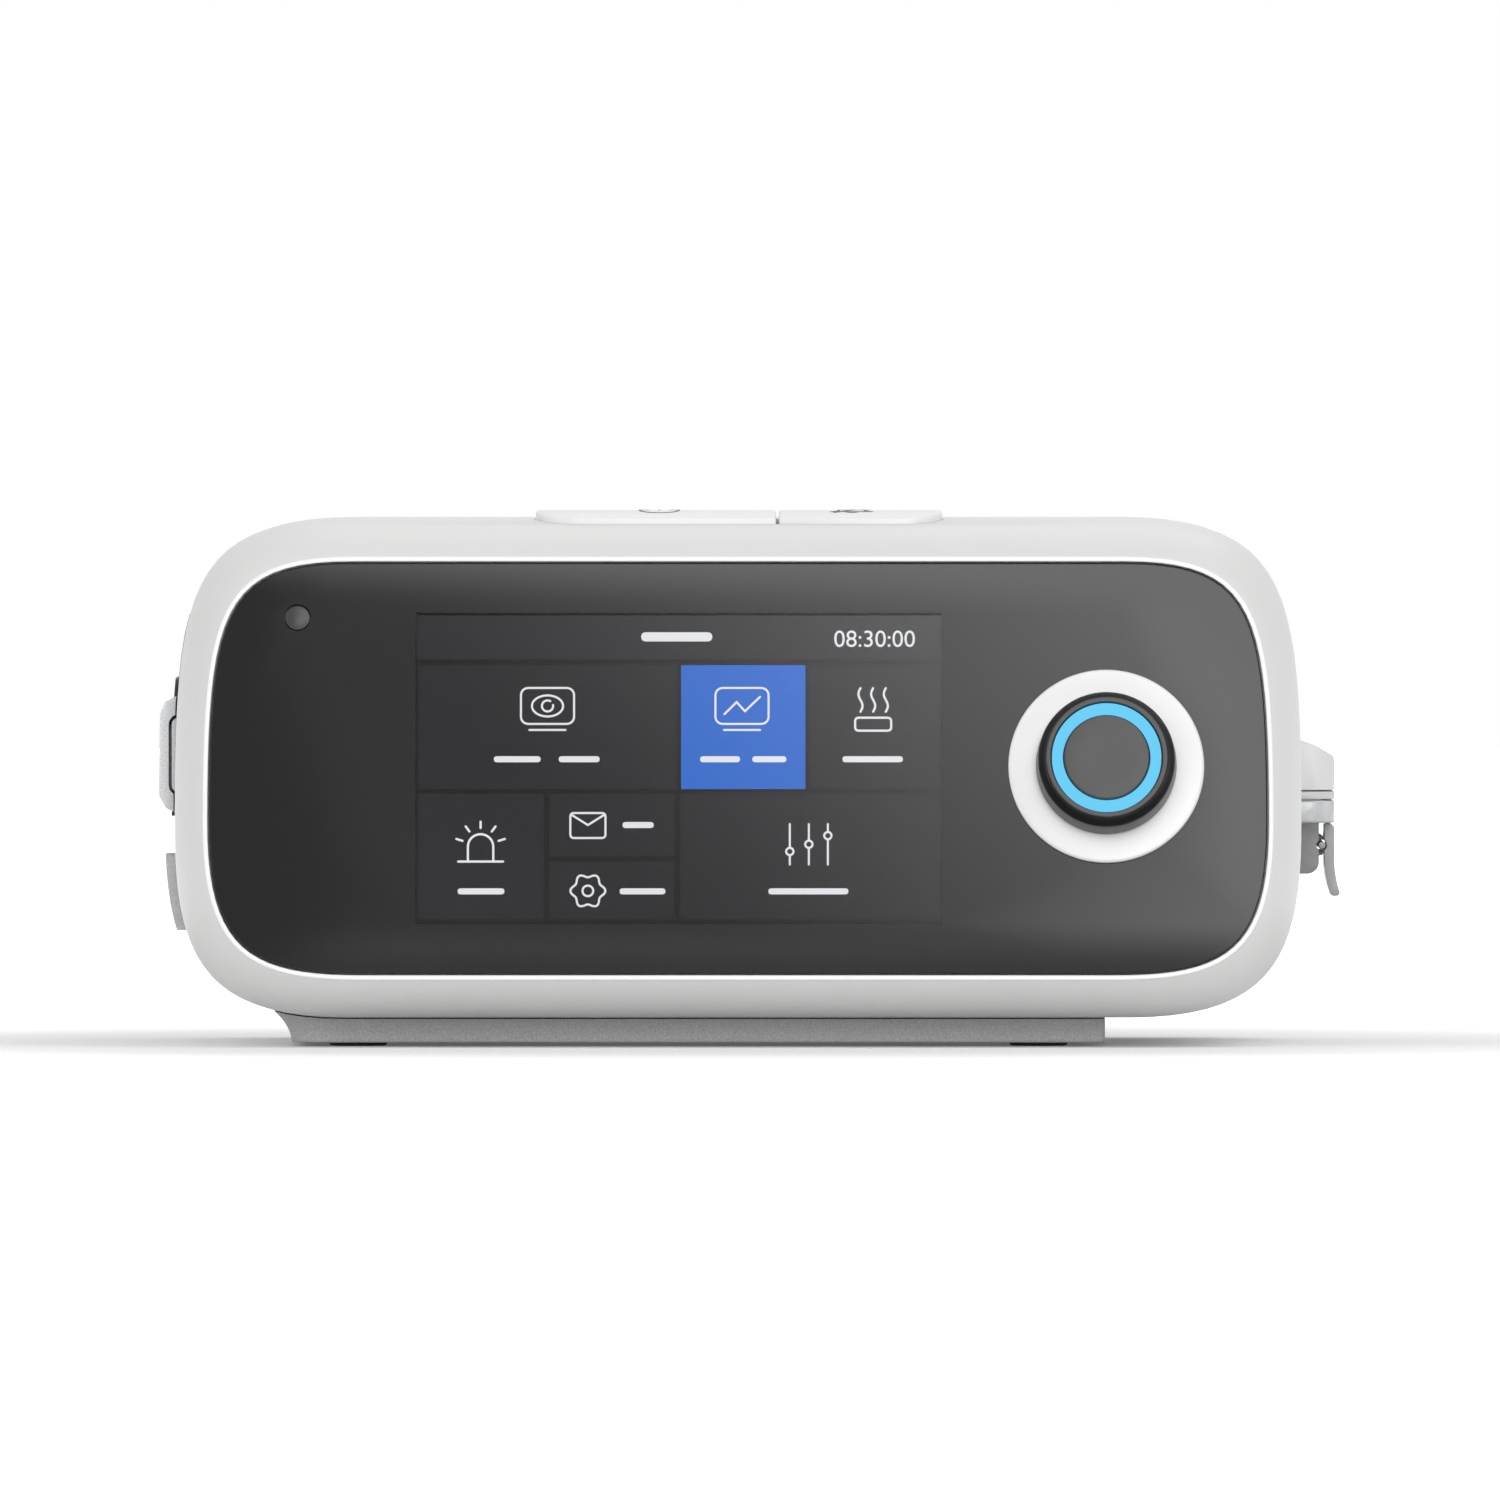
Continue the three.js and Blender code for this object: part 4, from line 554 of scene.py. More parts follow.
def moulded(name, colour, roughness, grain=0.4, depth=0.02, shade=0.04, gloss_change=0.06,
            dots=None, **sockets):
    """Moulded plastic: fine grain in its height, slow changes in its shade and gloss, and dots, given
    as their size in mm, their amount, and how dark and how light they are against the colour."""
    made = material(name, colour, roughness, **sockets)
    nodes, links = made.node_tree.nodes, made.node_tree.links
    shader = nodes["Principled BSDF"]
    surface = use_group(nodes, fine_grain, Grain_Size=grain)
    result = mix_colour(made, surface["Patches"], shaded(colour, 1 - shade), colour)
    if dots is not None:
        size, amount, dark, light = dots
        spread = use_group(nodes, speckle, Dot_Size=size, Amount=amount)
        for mask, share in (("Dark Dots", dark), ("Light Dots", light)):
            result = mix_colour(made, spread[mask], result, shaded(colour, share))
    links.new(result, shader.inputs["Base Color"])
    gloss = map_range(
        made.node_tree, surface["Patches"], roughness - gloss_change / 2, roughness + gloss_change / 2)
    links.new(gloss, shader.inputs["Roughness"])
    bump = nodes.new("ShaderNodeBump")
    bump.inputs["Strength"].default_value = 0.5
    bump.inputs["Distance"].default_value = depth * mm
    links.new(surface["Height"], bump.inputs["Height"])
    links.new(bump.outputs["Normal"], shader.inputs["Normal"])
    return made


white_shell = moulded("white_satin_plastic", (0.75, 0.75, 0.745), 0.42)
break_edges(front_housing, seam_edge_radius, angle=60)
settle(front_housing, "body", "white_shell", white_shell, "front_housing")
# The lip's faces get a brighter white than the rest of the moulding: a painted highlight, so that the lip
# reads as a bright line round the dark panel. Its lower roughness makes it glossier too.
lip_painted_highlight = moulded("white_plastic_painted_highlight", (0.95, 0.95, 0.95), 0.25, grain=0.5, depth=0.003, shade=0.01)
front_housing.data.materials.append(lip_painted_highlight)
for face in front_housing.data.polygons:
    if (face.center - panel_origin).dot(panel_facing) > 0.05 * mm:
        face.material_index = 1

# Upper and lower housing. Two white shells behind the front one, the same outline drawn straight
# back to an upright end. They meet in a level seam low on the sides.
seam_depth = front_depth + fit
housing_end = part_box("upper_housing")[1].y
seam_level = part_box("upper_housing")[0].z - fit / 2
beyond = 40 * mm  # how far a cutting block reaches past the body
pocket_reach = 12 * mm  # through the side wall, for the side panel
side_corner = 8 * mm


def shell(name):
    """The whole housing behind the front seam, hollow, with broken edges at both ends."""
    outer = [leaning(body_outline(edge_radius - step_on), seam_depth + step_in)
             for step_in, step_on in quarter(edge_radius)]
    outer_end = [upright(body_outline(step_in), housing_end - edge_radius + step_on)
                 for step_in, step_on in quarter(edge_radius)]
    return loft(name, [
        leaning(body_outline(shell_wall), seam_depth),
        *outer,
        *outer_end,
        upright(body_outline(shell_wall), housing_end),
    ], looped=True)


def side_prism(name, node, margin, x_low, x_high, radius):
    """A rounded prism through the side, as large as a node's side view and a margin."""
    low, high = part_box(node)
    return rounded_box(
        name, (x_low, low.y - margin, low.z - margin), (x_high, high.y + margin, high.z + margin),
        radius + margin, axis="X", segments=10,
    )


left_end = cad_low.x - beyond
right_end = cad_high.x + beyond
bay_low, bay_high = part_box("humidifier_bay")
bay_wall = 2 * mm
bay_corner = 2 * mm
bay_mouth_low = Vector((middle_x, bay_low.y + bay_wall, bay_low.z + bay_wall))
bay_mouth_high = Vector((right_end, bay_high.y - bay_wall, bay_high.z - bay_wall))

upper_housing = shell("upper_housing_moulding")
cut_away(
    upper_housing,
    block("below_seam", (left_end, cad_low.y - beyond, -beyond),
          (right_end, cad_high.y + beyond, seam_level + fit / 2)),
    side_prism("side_pocket", "left_side_panel", fit, left_end, shell_low.x + pocket_reach, side_corner),
    rounded_box("bay_mouth", bay_mouth_low, bay_mouth_high, bay_corner, axis="X"),
)
break_edges(upper_housing, seam_edge_radius, angle=60)
settle(upper_housing, "body", "white_shell", white_shell, "upper_housing")

lower_housing = shell("lower_housing_moulding")
cut_away(
    lower_housing,
    block("above_seam", (left_end, cad_low.y - beyond, seam_level - fit / 2),
          (right_end, cad_high.y + beyond, cad_high.z + beyond)),
)
break_edges(lower_housing, seam_edge_radius, angle=60)
settle(lower_housing, "body", "white_shell", white_shell, "lower_housing")

# Rear cover. A white cap that rolls round to the flat back, with a row of cooling slots, the hole
# of the air outlet and the hole of the power socket.
rear_low, rear_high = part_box("rear_cover")
rear_round = 8 * mm
rear_steps = 10
rear_inset = 1 * mm  # of the flat back's edge from the end of its rounding
vent_count = 9
vent_pitch = 5 * mm
vent_width = 2.2 * mm
vent_height = 20 * mm
vent_middle = Vector((middle_x + 50 * mm, rear_high.y, 88 * mm))
outlet_low, outlet_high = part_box("outlet_port")
outlet_middle = (outlet_low + outlet_high) / 2
outlet_radius = 11.2 * mm
hole_reach = 20 * mm
nearly_half = 0.49  # of a slot's width: the radius of its round ends
jack_low, jack_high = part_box("power_socket")
jack_middle = (jack_low + jack_high) / 2
jack_radius = 5.2 * mm


def cylinder(name, middle, radius, length, axis="Y", vertices=64):
    """A round block along one axis."""
    bpy.ops.object.select_all(action="DESELECT")
    turn = {"X": (0, math.pi / 2, 0), "Y": (math.pi / 2, 0, 0), "Z": (0, 0, 0)}[axis]
    bpy.ops.mesh.primitive_cylinder_add(
        vertices=vertices, radius=radius, depth=length, location=middle, rotation=turn)
    made = bpy.context.object
    made.name = name
    keep_place()
    return made


def row(middle, count, pitch):
    """The middles of a row of slots."""
    return [middle + (index - (count - 1) / 2) * pitch for index in range(count)]


rear_cover = loft("rear_cover_moulding", [
    upright(body_outline(shell_wall), rear_low.y),
    *[upright(body_outline(edge_radius - step_on), rear_low.y + step_in)
      for step_in, step_on in quarter(edge_radius)],
    *[upright(body_outline(step_in), rear_high.y - rear_round + step_on)
      for step_in, step_on in quarter(rear_round, rear_steps)],
    upright(body_outline(rear_round + rear_inset), rear_high.y),
])
inside = loft("rear_inside", [
    upright(body_outline(shell_wall), rear_low.y - fit),
    upright(body_outline(shell_wall), rear_high.y - rear_round),
    upright(body_outline(rear_round), rear_high.y - shell_wall),
])
slots = []
for index, x in enumerate(row(vent_middle.x, vent_count, vent_pitch)):
    slots.append(rounded_box(
        f"vent_{index}",
        (x - vent_width / 2, rear_high.y - 2 * shell_wall, vent_middle.z - vent_height / 2),
        (x + vent_width / 2, rear_high.y + shell_wall, vent_middle.z + vent_height / 2),
        vent_width * nearly_half, axis="Y", segments=6,
    ))
cut_away(
    rear_cover, inside, *slots,
    cylinder("outlet_hole", (outlet_middle.x, rear_high.y, outlet_middle.z), outlet_radius + fit, hole_reach),
    cylinder("jack_hole", (jack_middle.x, rear_high.y, jack_middle.z), jack_radius + fit, hole_reach),
)
break_edges(rear_cover, seam_edge_radius, angle=60)
settle(rear_cover, "body", "white_shell", white_shell, "rear_cover")

# Lens. The dark panel is one sheet of gloss acrylic, black printed behind and left clear in front
# of the screen. Its corners follow the ring, its edge is polished, and it has holes for the knob's
# collar and for the status window.
lens_thickness = 2.0 * mm
lens_edge = 0.3 * mm
screen_width = 108 * mm
screen_height = 64.8 * mm
panel_up = Vector((0, math.sin(lean), math.cos(lean)))


def along_panel(level):
    """A level above the floor as a height along the leaning panel, from the widest level."""
    return (level - widest) / math.cos(lean)


def put_on_panel(*pieces):
    """Pieces drawn upright round the origin are laid into the leaning panel."""
    for piece in pieces:
        pick(piece)
        keep_place()
        piece.location = panel_origin
        piece.rotation_euler = (-lean, 0, 0)
        keep_place()


def lens_ring(inset, y):
    """The panel's outline at a depth of the lens, with the level edge that its pocket has."""
    return [Vector((p.x, y, p.y / math.cos(lean) + y * math.tan(lean))) for p in panel_outline(inset)]


def cut_planes(piece, planes):
    """Cuts a piece's faces along planes and keeps both sides."""
    pick(piece)
    bpy.ops.object.mode_set(mode="EDIT")
    for point, normal in planes:
        bpy.ops.mesh.select_all(action="SELECT")
        bpy.ops.mesh.bisect(plane_co=point, plane_no=normal)
    bpy.ops.object.mode_set(mode="OBJECT")


black_acrylic = moulded("black_printed_acrylic", (0.010, 0.010, 0.0105), 0.12, grain=60, depth=0.002,
                        shade=0.1, gloss_change=0.02)
clear_acrylic = moulded("clear_acrylic", (0.97, 0.97, 0.98), 0.025, grain=2.0, depth=0.0, shade=0.01,
                        gloss_change=0.01, Transmission_Weight=1.0, IOR=1.4)
knob_low, knob_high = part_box("knob_collar")
knob_middle_x = (knob_low.x + knob_high.x) / 2 - middle_x
knob_height = along_panel((knob_low.z + knob_high.z) / 2 + 0.05 * mm)
collar_neck = 17.7 * mm
window_low, window_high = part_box("status_window")
window_x = (window_low.x + window_high.x) / 2 - middle_x
window_height = along_panel(88.2 * mm)
window_radius = 2.5 * mm
screen_low, screen_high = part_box("screen")
screen_x = (screen_low.x + screen_high.x) / 2 - middle_x
screen_level = along_panel(57.3 * mm)

lens = loft("lens_acrylic", [
    *[lens_ring(lens_edge - step_on, step_in) for step_in, step_on in quarter(lens_edge)],
    *[lens_ring(step_in, lens_thickness - lens_edge + step_on) for step_in, step_on in quarter(lens_edge)],
])
cut_away(
    lens,
    cylinder("collar_hole", (knob_middle_x, 0, knob_height), collar_neck + fit, hole_reach, vertices=96),
    cylinder("window_hole", (window_x, 0, window_height), window_radius + fit, hole_reach, vertices=48),
)
cut_planes(lens, [
    ((screen_x - screen_width / 2, 0, 0), (1, 0, 0)),
    ((screen_x + screen_width / 2, 0, 0), (1, 0, 0)),
    ((0, 0, screen_level - screen_height / 2), (0, 0, 1)),
    ((0, 0, screen_level + screen_height / 2), (0, 0, 1)),
])
put_on_panel(lens)
settle(lens, "body", "black_gloss", black_acrylic, "display_lens")
lens.data.materials.append(clear_acrylic)
screen_middle = panel_origin + Vector((screen_x, 0, 0)) + panel_up * screen_level
for face in lens.data.polygons:
    offset = face.center - screen_middle
    beside = abs(offset.x) < screen_width / 2
    between = abs(offset.dot(panel_up)) < screen_height / 2
    if beside and between:
        face.material_index = 1

# Status window. A round light guide of dark, milky polycarbonate that stands in a hole of the lens,
# with a flange behind it.
window_flange = 3.6 * mm
milky_guide = moulded("milky_light_guide", (0.035, 0.035, 0.036), 0.35, grain=1.0, depth=0.005)


def turned(name, profile, middle_x_on_panel, height, steps=96):
    """A profile of (radius, depth) points spun round an axis that stands square on the panel."""
    bpy.ops.object.select_all(action="DESELECT")
    bpy.ops.mesh.primitive_circle_add(vertices=len(profile), radius=1)
    made = bpy.context.object
    made.name = name
    bpy.ops.object.mode_set(mode="EDIT")
    mesh = bmesh.from_edit_mesh(made.data)
    mesh.verts.ensure_lookup_table()
    for vertex, (radius, depth) in zip(mesh.verts, profile):
        vertex.co = (radius, depth, 0)
    if profile[0][0] == 0 and profile[-1][0] == 0:  # both ends lie on the axis
        ends = {0, len(profile) - 1}
        mesh.edges.remove(next(e for e in mesh.edges if {v.index for v in e.verts} == ends))
    bmesh.update_edit_mesh(made.data)
    bpy.ops.mesh.select_all(action="SELECT")
    bpy.ops.mesh.spin(steps=steps, angle=2 * math.pi, center=(0, 0, 0), axis=(0, 1, 0))
    bpy.ops.mesh.select_all(action="SELECT")
    bpy.ops.mesh.remove_doubles(threshold=0.001 * mm)
    bpy.ops.mesh.normals_make_consistent(inside=False)
    bpy.ops.object.mode_set(mode="OBJECT")
    made.location = (middle_x_on_panel, 0, height)
    return made


window = turned("status_light_guide", [
    (0, 0.1 * mm),
    (window_radius - 0.4 * mm, 0.1 * mm),
    (window_radius, 0.3 * mm),
    (window_radius, 2.3 * mm),
    (window_flange, 2.3 * mm),
    (window_flange, 8.2 * mm),
    (0, 8.2 * mm),
], window_x, window_height, steps=48)
put_on_panel(window)
settle(window, "body", "grey_plastic", milky_guide, "status_window")

# Knob. A white collar is pressed into the lens; the knob in front of it is a gloss dark cup with a
# ribless skirt and a chamfered nose, a blue light guide ring let into its face, and a satin cap.
white_gloss = moulded("white_smooth_plastic", (0.88, 0.88, 0.88), 0.3, grain=0.5, depth=0.004,
                      gloss_change=0.03, Coat_Weight=0.15, Coat_Roughness=0.1)
knob_gloss = moulded("knob_dark_gloss", (0.008, 0.008, 0.009), 0.34, grain=1.0, depth=0.003,
                     gloss_change=0.04, Specular_IOR_Level=0.28)
cap_satin = moulded("knob_cap_satin", (0.055, 0.055, 0.057), 0.4, grain=0.5, depth=0.006,
                    Specular_IOR_Level=0.35)


def lit(name, colour):
    """A part that shines: a dark surface that glows, a little uneven like a backlight."""
    made = material(name, (0.004, 0.004, 0.004), 0.35, Specular_IOR_Level=0.0)
    shader = made.node_tree.nodes["Principled BSDF"]
    surface = use_group(made.node_tree.nodes, fine_grain, Grain_Size=0.6, Patch_Size=45.0)
    glow = mix_colour(made, surface["Patches"], shaded(colour, 0.9), colour)
    made.node_tree.links.new(glow, shader.inputs["Emission Color"])
    shader.inputs["Emission Strength"].default_value = 1.0
    return made


blue_glow = lit("blue_light_guide", (0.16, 0.66, 0.98))
shaft_radius = 3.3 * mm
collar_radius = 20.1 * mm
collar_bore = 4.7 * mm
collar_front = -1.2 * mm
collar_well = 13.4 * mm  # hidden under the knob's skirt
collar_floor = -0.5 * mm
knob_face_y = -11.7 * mm
knob_base_y = -2.0 * mm
knob_nose = 12.75 * mm
knob_shoulder = 14.05 * mm
knob_skirt = 14.45 * mm
knob_inside = 12.55 * mm
knob_boss = 5.5 * mm
glow_seat = 11.5 * mm
glow_inner = 9.0 * mm
glow_outer = 11.2 * mm
glow_back = knob_face_y + 1.7 * mm
cap_radius = 8.7 * mm


def rounded(points, corners, steps=5):
    """A profile whose corners, given by place in the list and radius, are rounded."""
    out = []
    for index, point in enumerate(points):
        radius = corners.get(index)
        if radius is None:
            out.append(point)
            continue
        here = Vector(point)
        before = (Vector(points[index - 1]) - here).normalized()
        after = (Vector(points[(index + 1) % len(points)]) - here).normalized()
        half = before.angle(after) / 2
        back_off = radius / math.tan(half)
        middle = here + (before + after).normalized() * (radius / math.sin(half))
        start = here + before * back_off - middle
        end = here + after * back_off - middle
        sweep = start.angle_signed(end)
        for step in range(steps + 1):
            turn = -sweep * step / steps
            spoke = Vector((
                start.x * math.cos(turn) - start.y * math.sin(turn),
                start.x * math.sin(turn) + start.y * math.cos(turn),
            ))
            out.append(tuple(middle + spoke))
    return out


collar = turned("knob_collar_ring", rounded([
    (collar_bore, lens_thickness),
    (collar_bore, collar_floor),
    (collar_well, collar_floor),
    (collar_well + 0.35 * mm, collar_front),
    (collar_radius, collar_front),
    (collar_radius, -fit),
    (collar_neck, -fit),
    (collar_neck, lens_thickness),
], {2: 0.3 * mm, 3: 0.2 * mm, 4: 0.6 * mm, 5: 0.1 * mm}), knob_middle_x, knob_height, steps=128)
knob_web = knob_face_y + 3.5 * mm
knob_cup = turned("knob_cup", rounded([
    (0, knob_face_y + 2.0 * mm),
    (glow_seat, knob_face_y + 2.0 * mm),
    (glow_seat, knob_face_y),
    (knob_nose, knob_face_y),
    (knob_shoulder, knob_face_y + 2.9 * mm),
    (knob_skirt, knob_base_y),
    (knob_inside, knob_base_y),
    (knob_inside, knob_web),
    (knob_boss, knob_web),
    (knob_boss, knob_base_y),
    (shaft_radius, knob_base_y),
    (shaft_radius, knob_web),
    (0, knob_web),
], {2: 0.1 * mm, 3: 0.9 * mm, 4: 3.0 * mm, 5: 0.35 * mm, 6: 0.2 * mm}, steps=8),
    knob_middle_x, knob_height, steps=128)
glow_ring = turned("knob_glow_ring", rounded([
    (glow_inner, glow_back),
    (glow_inner, knob_face_y + 0.1 * mm),
    (glow_outer, knob_face_y + 0.1 * mm),
    (glow_outer, glow_back),
], {1: 0.15 * mm, 2: 0.15 * mm}), knob_middle_x, knob_height, steps=96)
cap = turned("knob_cap", rounded([
    (0, knob_face_y + 0.12 * mm),
    (5.0 * mm, knob_face_y + 0.08 * mm),
    (cap_radius, knob_face_y),
    (cap_radius, glow_back),
    (0, glow_back),
], {2: 0.25 * mm}), knob_middle_x, knob_height, steps=96)
put_on_panel(collar, knob_cup, glow_ring, cap)
settle(collar, "body", "white_key", white_gloss, "knob_collar")
settle(knob_cup, "knob", "black_gloss", knob_gloss, "knob_shell")
knob_cup.data.materials.append(cap_satin)
for face in knob_cup.data.polygons:
    height = (face.center - panel_origin).dot(panel_facing)
    if face.normal.dot(panel_facing) > 0.97 and height > -knob_face_y - 0.3 * mm:
        face.material_index = 1  # the flat rim of the nose is satin too
settle(glow_ring, "knob", "blue_light", blue_glow, "knob_light_ring")
settle(cap, "knob", "dark_plastic", cap_satin, "knob_face")

# Screen. A colour screen of 108 by 64.8 mm shines through the clear part of the lens: a dark ground,
# a header with a clock, seven tiles, one of them chosen, and white signs. Plain bars stand for
# words.
layer = 0.08 * mm  # of the picture: the tiles lie on the ground, the signs on the tiles
glass_front = lens_thickness + fit
tile_front = glass_front - layer
sign_front = tile_front - layer
screen_left = screen_x - screen_width / 2
screen_foot = screen_level - screen_height / 2


def on_screen(points, y):
    """Points given in mm across and up the screen, at a depth."""
    return [Vector((screen_left + u * mm, y, screen_foot + v * mm)) for u, v in points]


def outline_plate(name, points, front, back):
    """A thin flat piece of the picture, from its closed outline."""
    return loft(name, [on_screen(points, y) for y in (front, back)])


def frame_plate(name, outer, inner, front, back):
    """The same with a hole: two outlines of as many points."""
    rings = ((outer, front), (inner, front), (inner, back), (outer, back))
    return loft(name, [on_screen(points, y) for points, y in rings], looped=True)


def arc(u, v, radius, start=0.0, end=360.0, steps=32):
    """Points of a circle or an arc, anticlockwise, in degrees."""
    turns = [math.radians(start + (end - start) * step / steps) for step in range(steps + 1)]
    points = [(u + radius * math.cos(turn), v + radius * math.sin(turn)) for turn in turns]
    return points[:-1] if end - start == 360.0 else points


def box_line(u, v, width, height, radius, steps=6):
    """Points of a rectangle with round corners about its middle."""
    points = []
    for across, up, start in ((1, -1, -90), (1, 1, 0), (-1, 1, 90), (-1, -1, 180)):
        centre_u = u + across * (width / 2 - radius)
        centre_v = v + up * (height / 2 - radius)
        points += arc(centre_u, centre_v, radius, start, start + 90, steps)
    return points


def offset_line(points, offset, closed):
    """The points moved to the left of their way, with mitred joints."""
    moved = []
    count = len(points)
    for index, point in enumerate(points):
        here = Vector(point)
        before = Vector(points[index - 1]) if closed or index else None
        after = Vector(points[(index + 1) % count]) if closed or index < count - 1 else None
        ways = []
        if before is not None:
            ways.append((here - before).normalized())
        if after is not None:
            ways.append((after - here).normalized())
        sides = [Vector((-way.y, way.x)) for way in ways]
        side = (sides[0] + sides[-1]).normalized()
        reach = offset / max(side.dot(sides[0]), 0.5)
        moved.append(tuple(here + side * reach))
    return moved


def sign(name, strokes, width=0.42):
    """A line drawing: each stroke is a list of points in mm, closed when it says so."""
    parts = []
    for points, closed in strokes:
        if closed:
            parts.append(frame_plate(
                name, offset_line(points, -width / 2, True), offset_line(points, width / 2, True),
                sign_front, tile_front))
            continue
        left = offset_line(points, width / 2, False)
        right = offset_line(points, -width / 2, False)
        ends = []
        for end, near in ((points[-1], points[-2]), (points[0], points[1])):
            way = math.degrees(math.atan2(end[1] - near[1], end[0] - near[0]))
            ends.append(arc(end[0], end[1], width / 2, way - 90, way + 90, 6)[1:-1])
        around = [*right, *ends[0], *reversed(left), *ends[1]]
        parts.append(outline_plate(name, around, sign_front, tile_front))
    bpy.ops.object.select_all(action="DESELECT")
    for part in parts:
        part.select_set(True)
    bpy.context.view_layer.objects.active = parts[0]
    bpy.ops.object.join()
    return parts[0]


def show(piece, finish, *nodes):
    """Lays a piece of the picture into the panel."""
    put_on_panel(piece)
    settle(piece, "body", "screen_glass", finish, *nodes)


ground_glow = lit("screen_ground", (0.001, 0.001, 0.001))
header_glow = lit("screen_header", (0.0155, 0.0155, 0.018))
tile_glow = lit("screen_tile", (0.0125, 0.0125, 0.0145))
chosen_glow = lit("screen_chosen_tile", (0.018, 0.145, 0.62))
sign_glow = lit("screen_signs", (0.85, 0.86, 0.88))

glass_back = glass_front + 0.9 * mm
glass_sheet = rounded_box(
    "screen_sheet", (screen_left, glass_front, screen_foot),
    (screen_left + screen_width, glass_back, screen_foot + screen_height), 0.3 * mm, axis="Y", segments=3)
show(glass_sheet, ground_glow, "screen")
tiles = (  # name, left edge, foot, width and height in mm, light
    ("header", 0.3, 55.4, 107.4, 9.1, header_glow),
    ("tile_view", 0.6, 28.4, 52.9, 25.8, tile_glow),
    ("tile_chosen", 54.5, 28.4, 25.5, 25.8, chosen_glow),
    ("tile_warm", 80.9, 28.4, 26.7, 25.8, tile_glow),
    ("tile_alarm", 0.6, 1.3, 25.8, 26.1, tile_glow),
    ("tile_letter", 27.5, 14.4, 25.6, 13.0, tile_glow),
    ("tile_gear", 27.5, 1.3, 25.6, 12.0, tile_glow),
    ("tile_sliders", 54.3, 1.3, 53.3, 26.1, tile_glow),
)
for name, left, foot, width, height, glow in tiles:
    edge = box_line(left + width / 2, foot + height / 2, width, height, 0.15, 2)
    show(outline_plate(name, edge, tile_front, glass_front), glow)


def monitor(u, v):
    """The strokes of a screen on its foot, about its middle."""
    return [(box_line(u, v, 10.9, 7.5, 1.5), True), ([(u - 3.7, v - 5.0), (u + 3.7, v - 5.0)], False)]


view_u, chart_u, signs_v = 27.1, 67.0, 45.7
eye = [(view_u + 3.2 * across, signs_v + 2.2 * up) for across, up in arc(0, 0, 1)]
show(sign("sign_view", [
    *monitor(view_u, signs_v),
    (eye, True),
    (arc(view_u, signs_v, 1.15, 60, 360 + 10, 20), False),
]), sign_glow)
show(sign("sign_chart", [
    *monitor(chart_u, signs_v),
    ([(chart_u - 3.6, signs_v - 1.7), (chart_u - 1.1, signs_v + 0.8), (chart_u + 0.6, signs_v - 1.1),
      (chart_u + 3.7, signs_v + 1.9)], False),
]), sign_glow)
warm_u = 93.9
wave_steps = 16
wave = [
    (0.42 * math.sin(2 * math.pi * step / wave_steps), 44.5 + 4.9 * step / wave_steps)
    for step in range(wave_steps + 1)
]
steam = [([(warm_u + shift + across, up) for across, up in wave], False) for shift in (-2.6, 0, 2.6)]
show(sign("sign_warm", [(box_line(warm_u, 41.9, 7.4, 2.7, 0.7), True), *steam], 0.45), sign_glow)
alarm_u, alarm_v = 13.4, 13.3
dome_v, dome_radius = alarm_v + 3.1, 2.6
rays = []
for turn in (18, 54, 90, 126, 162):
    way = Vector((math.cos(math.radians(turn)), math.sin(math.radians(turn))))
    start = Vector((alarm_u, dome_v)) + way * 3.9
    rays.append(([tuple(start), tuple(start + way * 1.3)], False))
show(sign("sign_alarm", [
    ([(alarm_u - 4.6, alarm_v), (alarm_u + 4.6, alarm_v)], False),
    ([(alarm_u - dome_radius, alarm_v), *arc(alarm_u, dome_v, dome_radius, 180, 0, 16),
      (alarm_u + dome_radius, alarm_v)], False),
    *rays,
], 0.45), sign_glow)
small_u, letter_v, gear_v = 35.4, 20.8, 7.2
show(sign("sign_letter", [
    (box_line(small_u, letter_v, 7.2, 5.2, 0.7), True),
    ([(small_u - 3.3, letter_v + 2.2), (small_u, letter_v + 0.1), (small_u + 3.3, letter_v + 2.2)], False),
]), sign_glow)
gear_teeth = 6
gear_steps = 72
gear = []
for step in range(gear_steps):
    turn = 2 * math.pi * step / gear_steps
    radius = 3.2 + 0.38 * math.cos(gear_teeth * turn + math.pi)
    gear.append((small_u + radius * math.sin(turn), gear_v - radius * math.cos(turn)))
gear.reverse()
show(sign("sign_gear", [(gear, True), (arc(small_u, gear_v, 1.1, steps=24), True)]), sign_glow)
slider_u = 80.7
sliders = []
for shift, level in ((-3.9, 15.4), (0, 16.9), (3.9, 18.7)):
    sliders.append((arc(slider_u + shift, level, 0.75, steps=20), True))
    sliders.append(([(slider_u + shift, 12.7), (slider_u + shift, level - 0.75)], False))
    sliders.append(([(slider_u + shift, level + 0.75), (slider_u + shift, 21.1)], False))
show(sign("sign_sliders", sliders), sign_glow)

word_bars = (  # middle across and up, and length in mm
    (20.9, 34.6, 9.6), (33.6, 34.6, 8.4), (62.5, 34.6, 8.2), (72.6, 34.6, 7.0), (93.8, 34.6, 12.4),
    (13.5, 7.1, 9.6), (45.7, 20.9, 6.4), (46.6, 7.1, 9.4), (80.6, 7.1, 16.4),
)
for index, (u, v, length) in enumerate(word_bars):
    bar = box_line(u, v, length, 1.25, 0.6)
    show(outline_plate(f"word_bar_{index}", bar, sign_front, tile_front), sign_glow)
show(outline_plate("title_bar", box_line(53.6, 60.1, 14.6, 1.9, 0.9), sign_front, tile_front), sign_glow)
bpy.ops.object.select_all(action="DESELECT")
bpy.ops.object.text_add()
clock = bpy.context.object
clock.name = "clock"
clock.data.body = "08:30:00"
clock.data.align_x = "CENTER"
clock.data.align_y = "CENTER"
clock.data.size = 4.9 * mm
clock.data.extrude = (tile_front - sign_front) / 2
bpy.ops.object.convert(target="MESH")
clock.rotation_euler = (math.pi / 2, 0, 0)
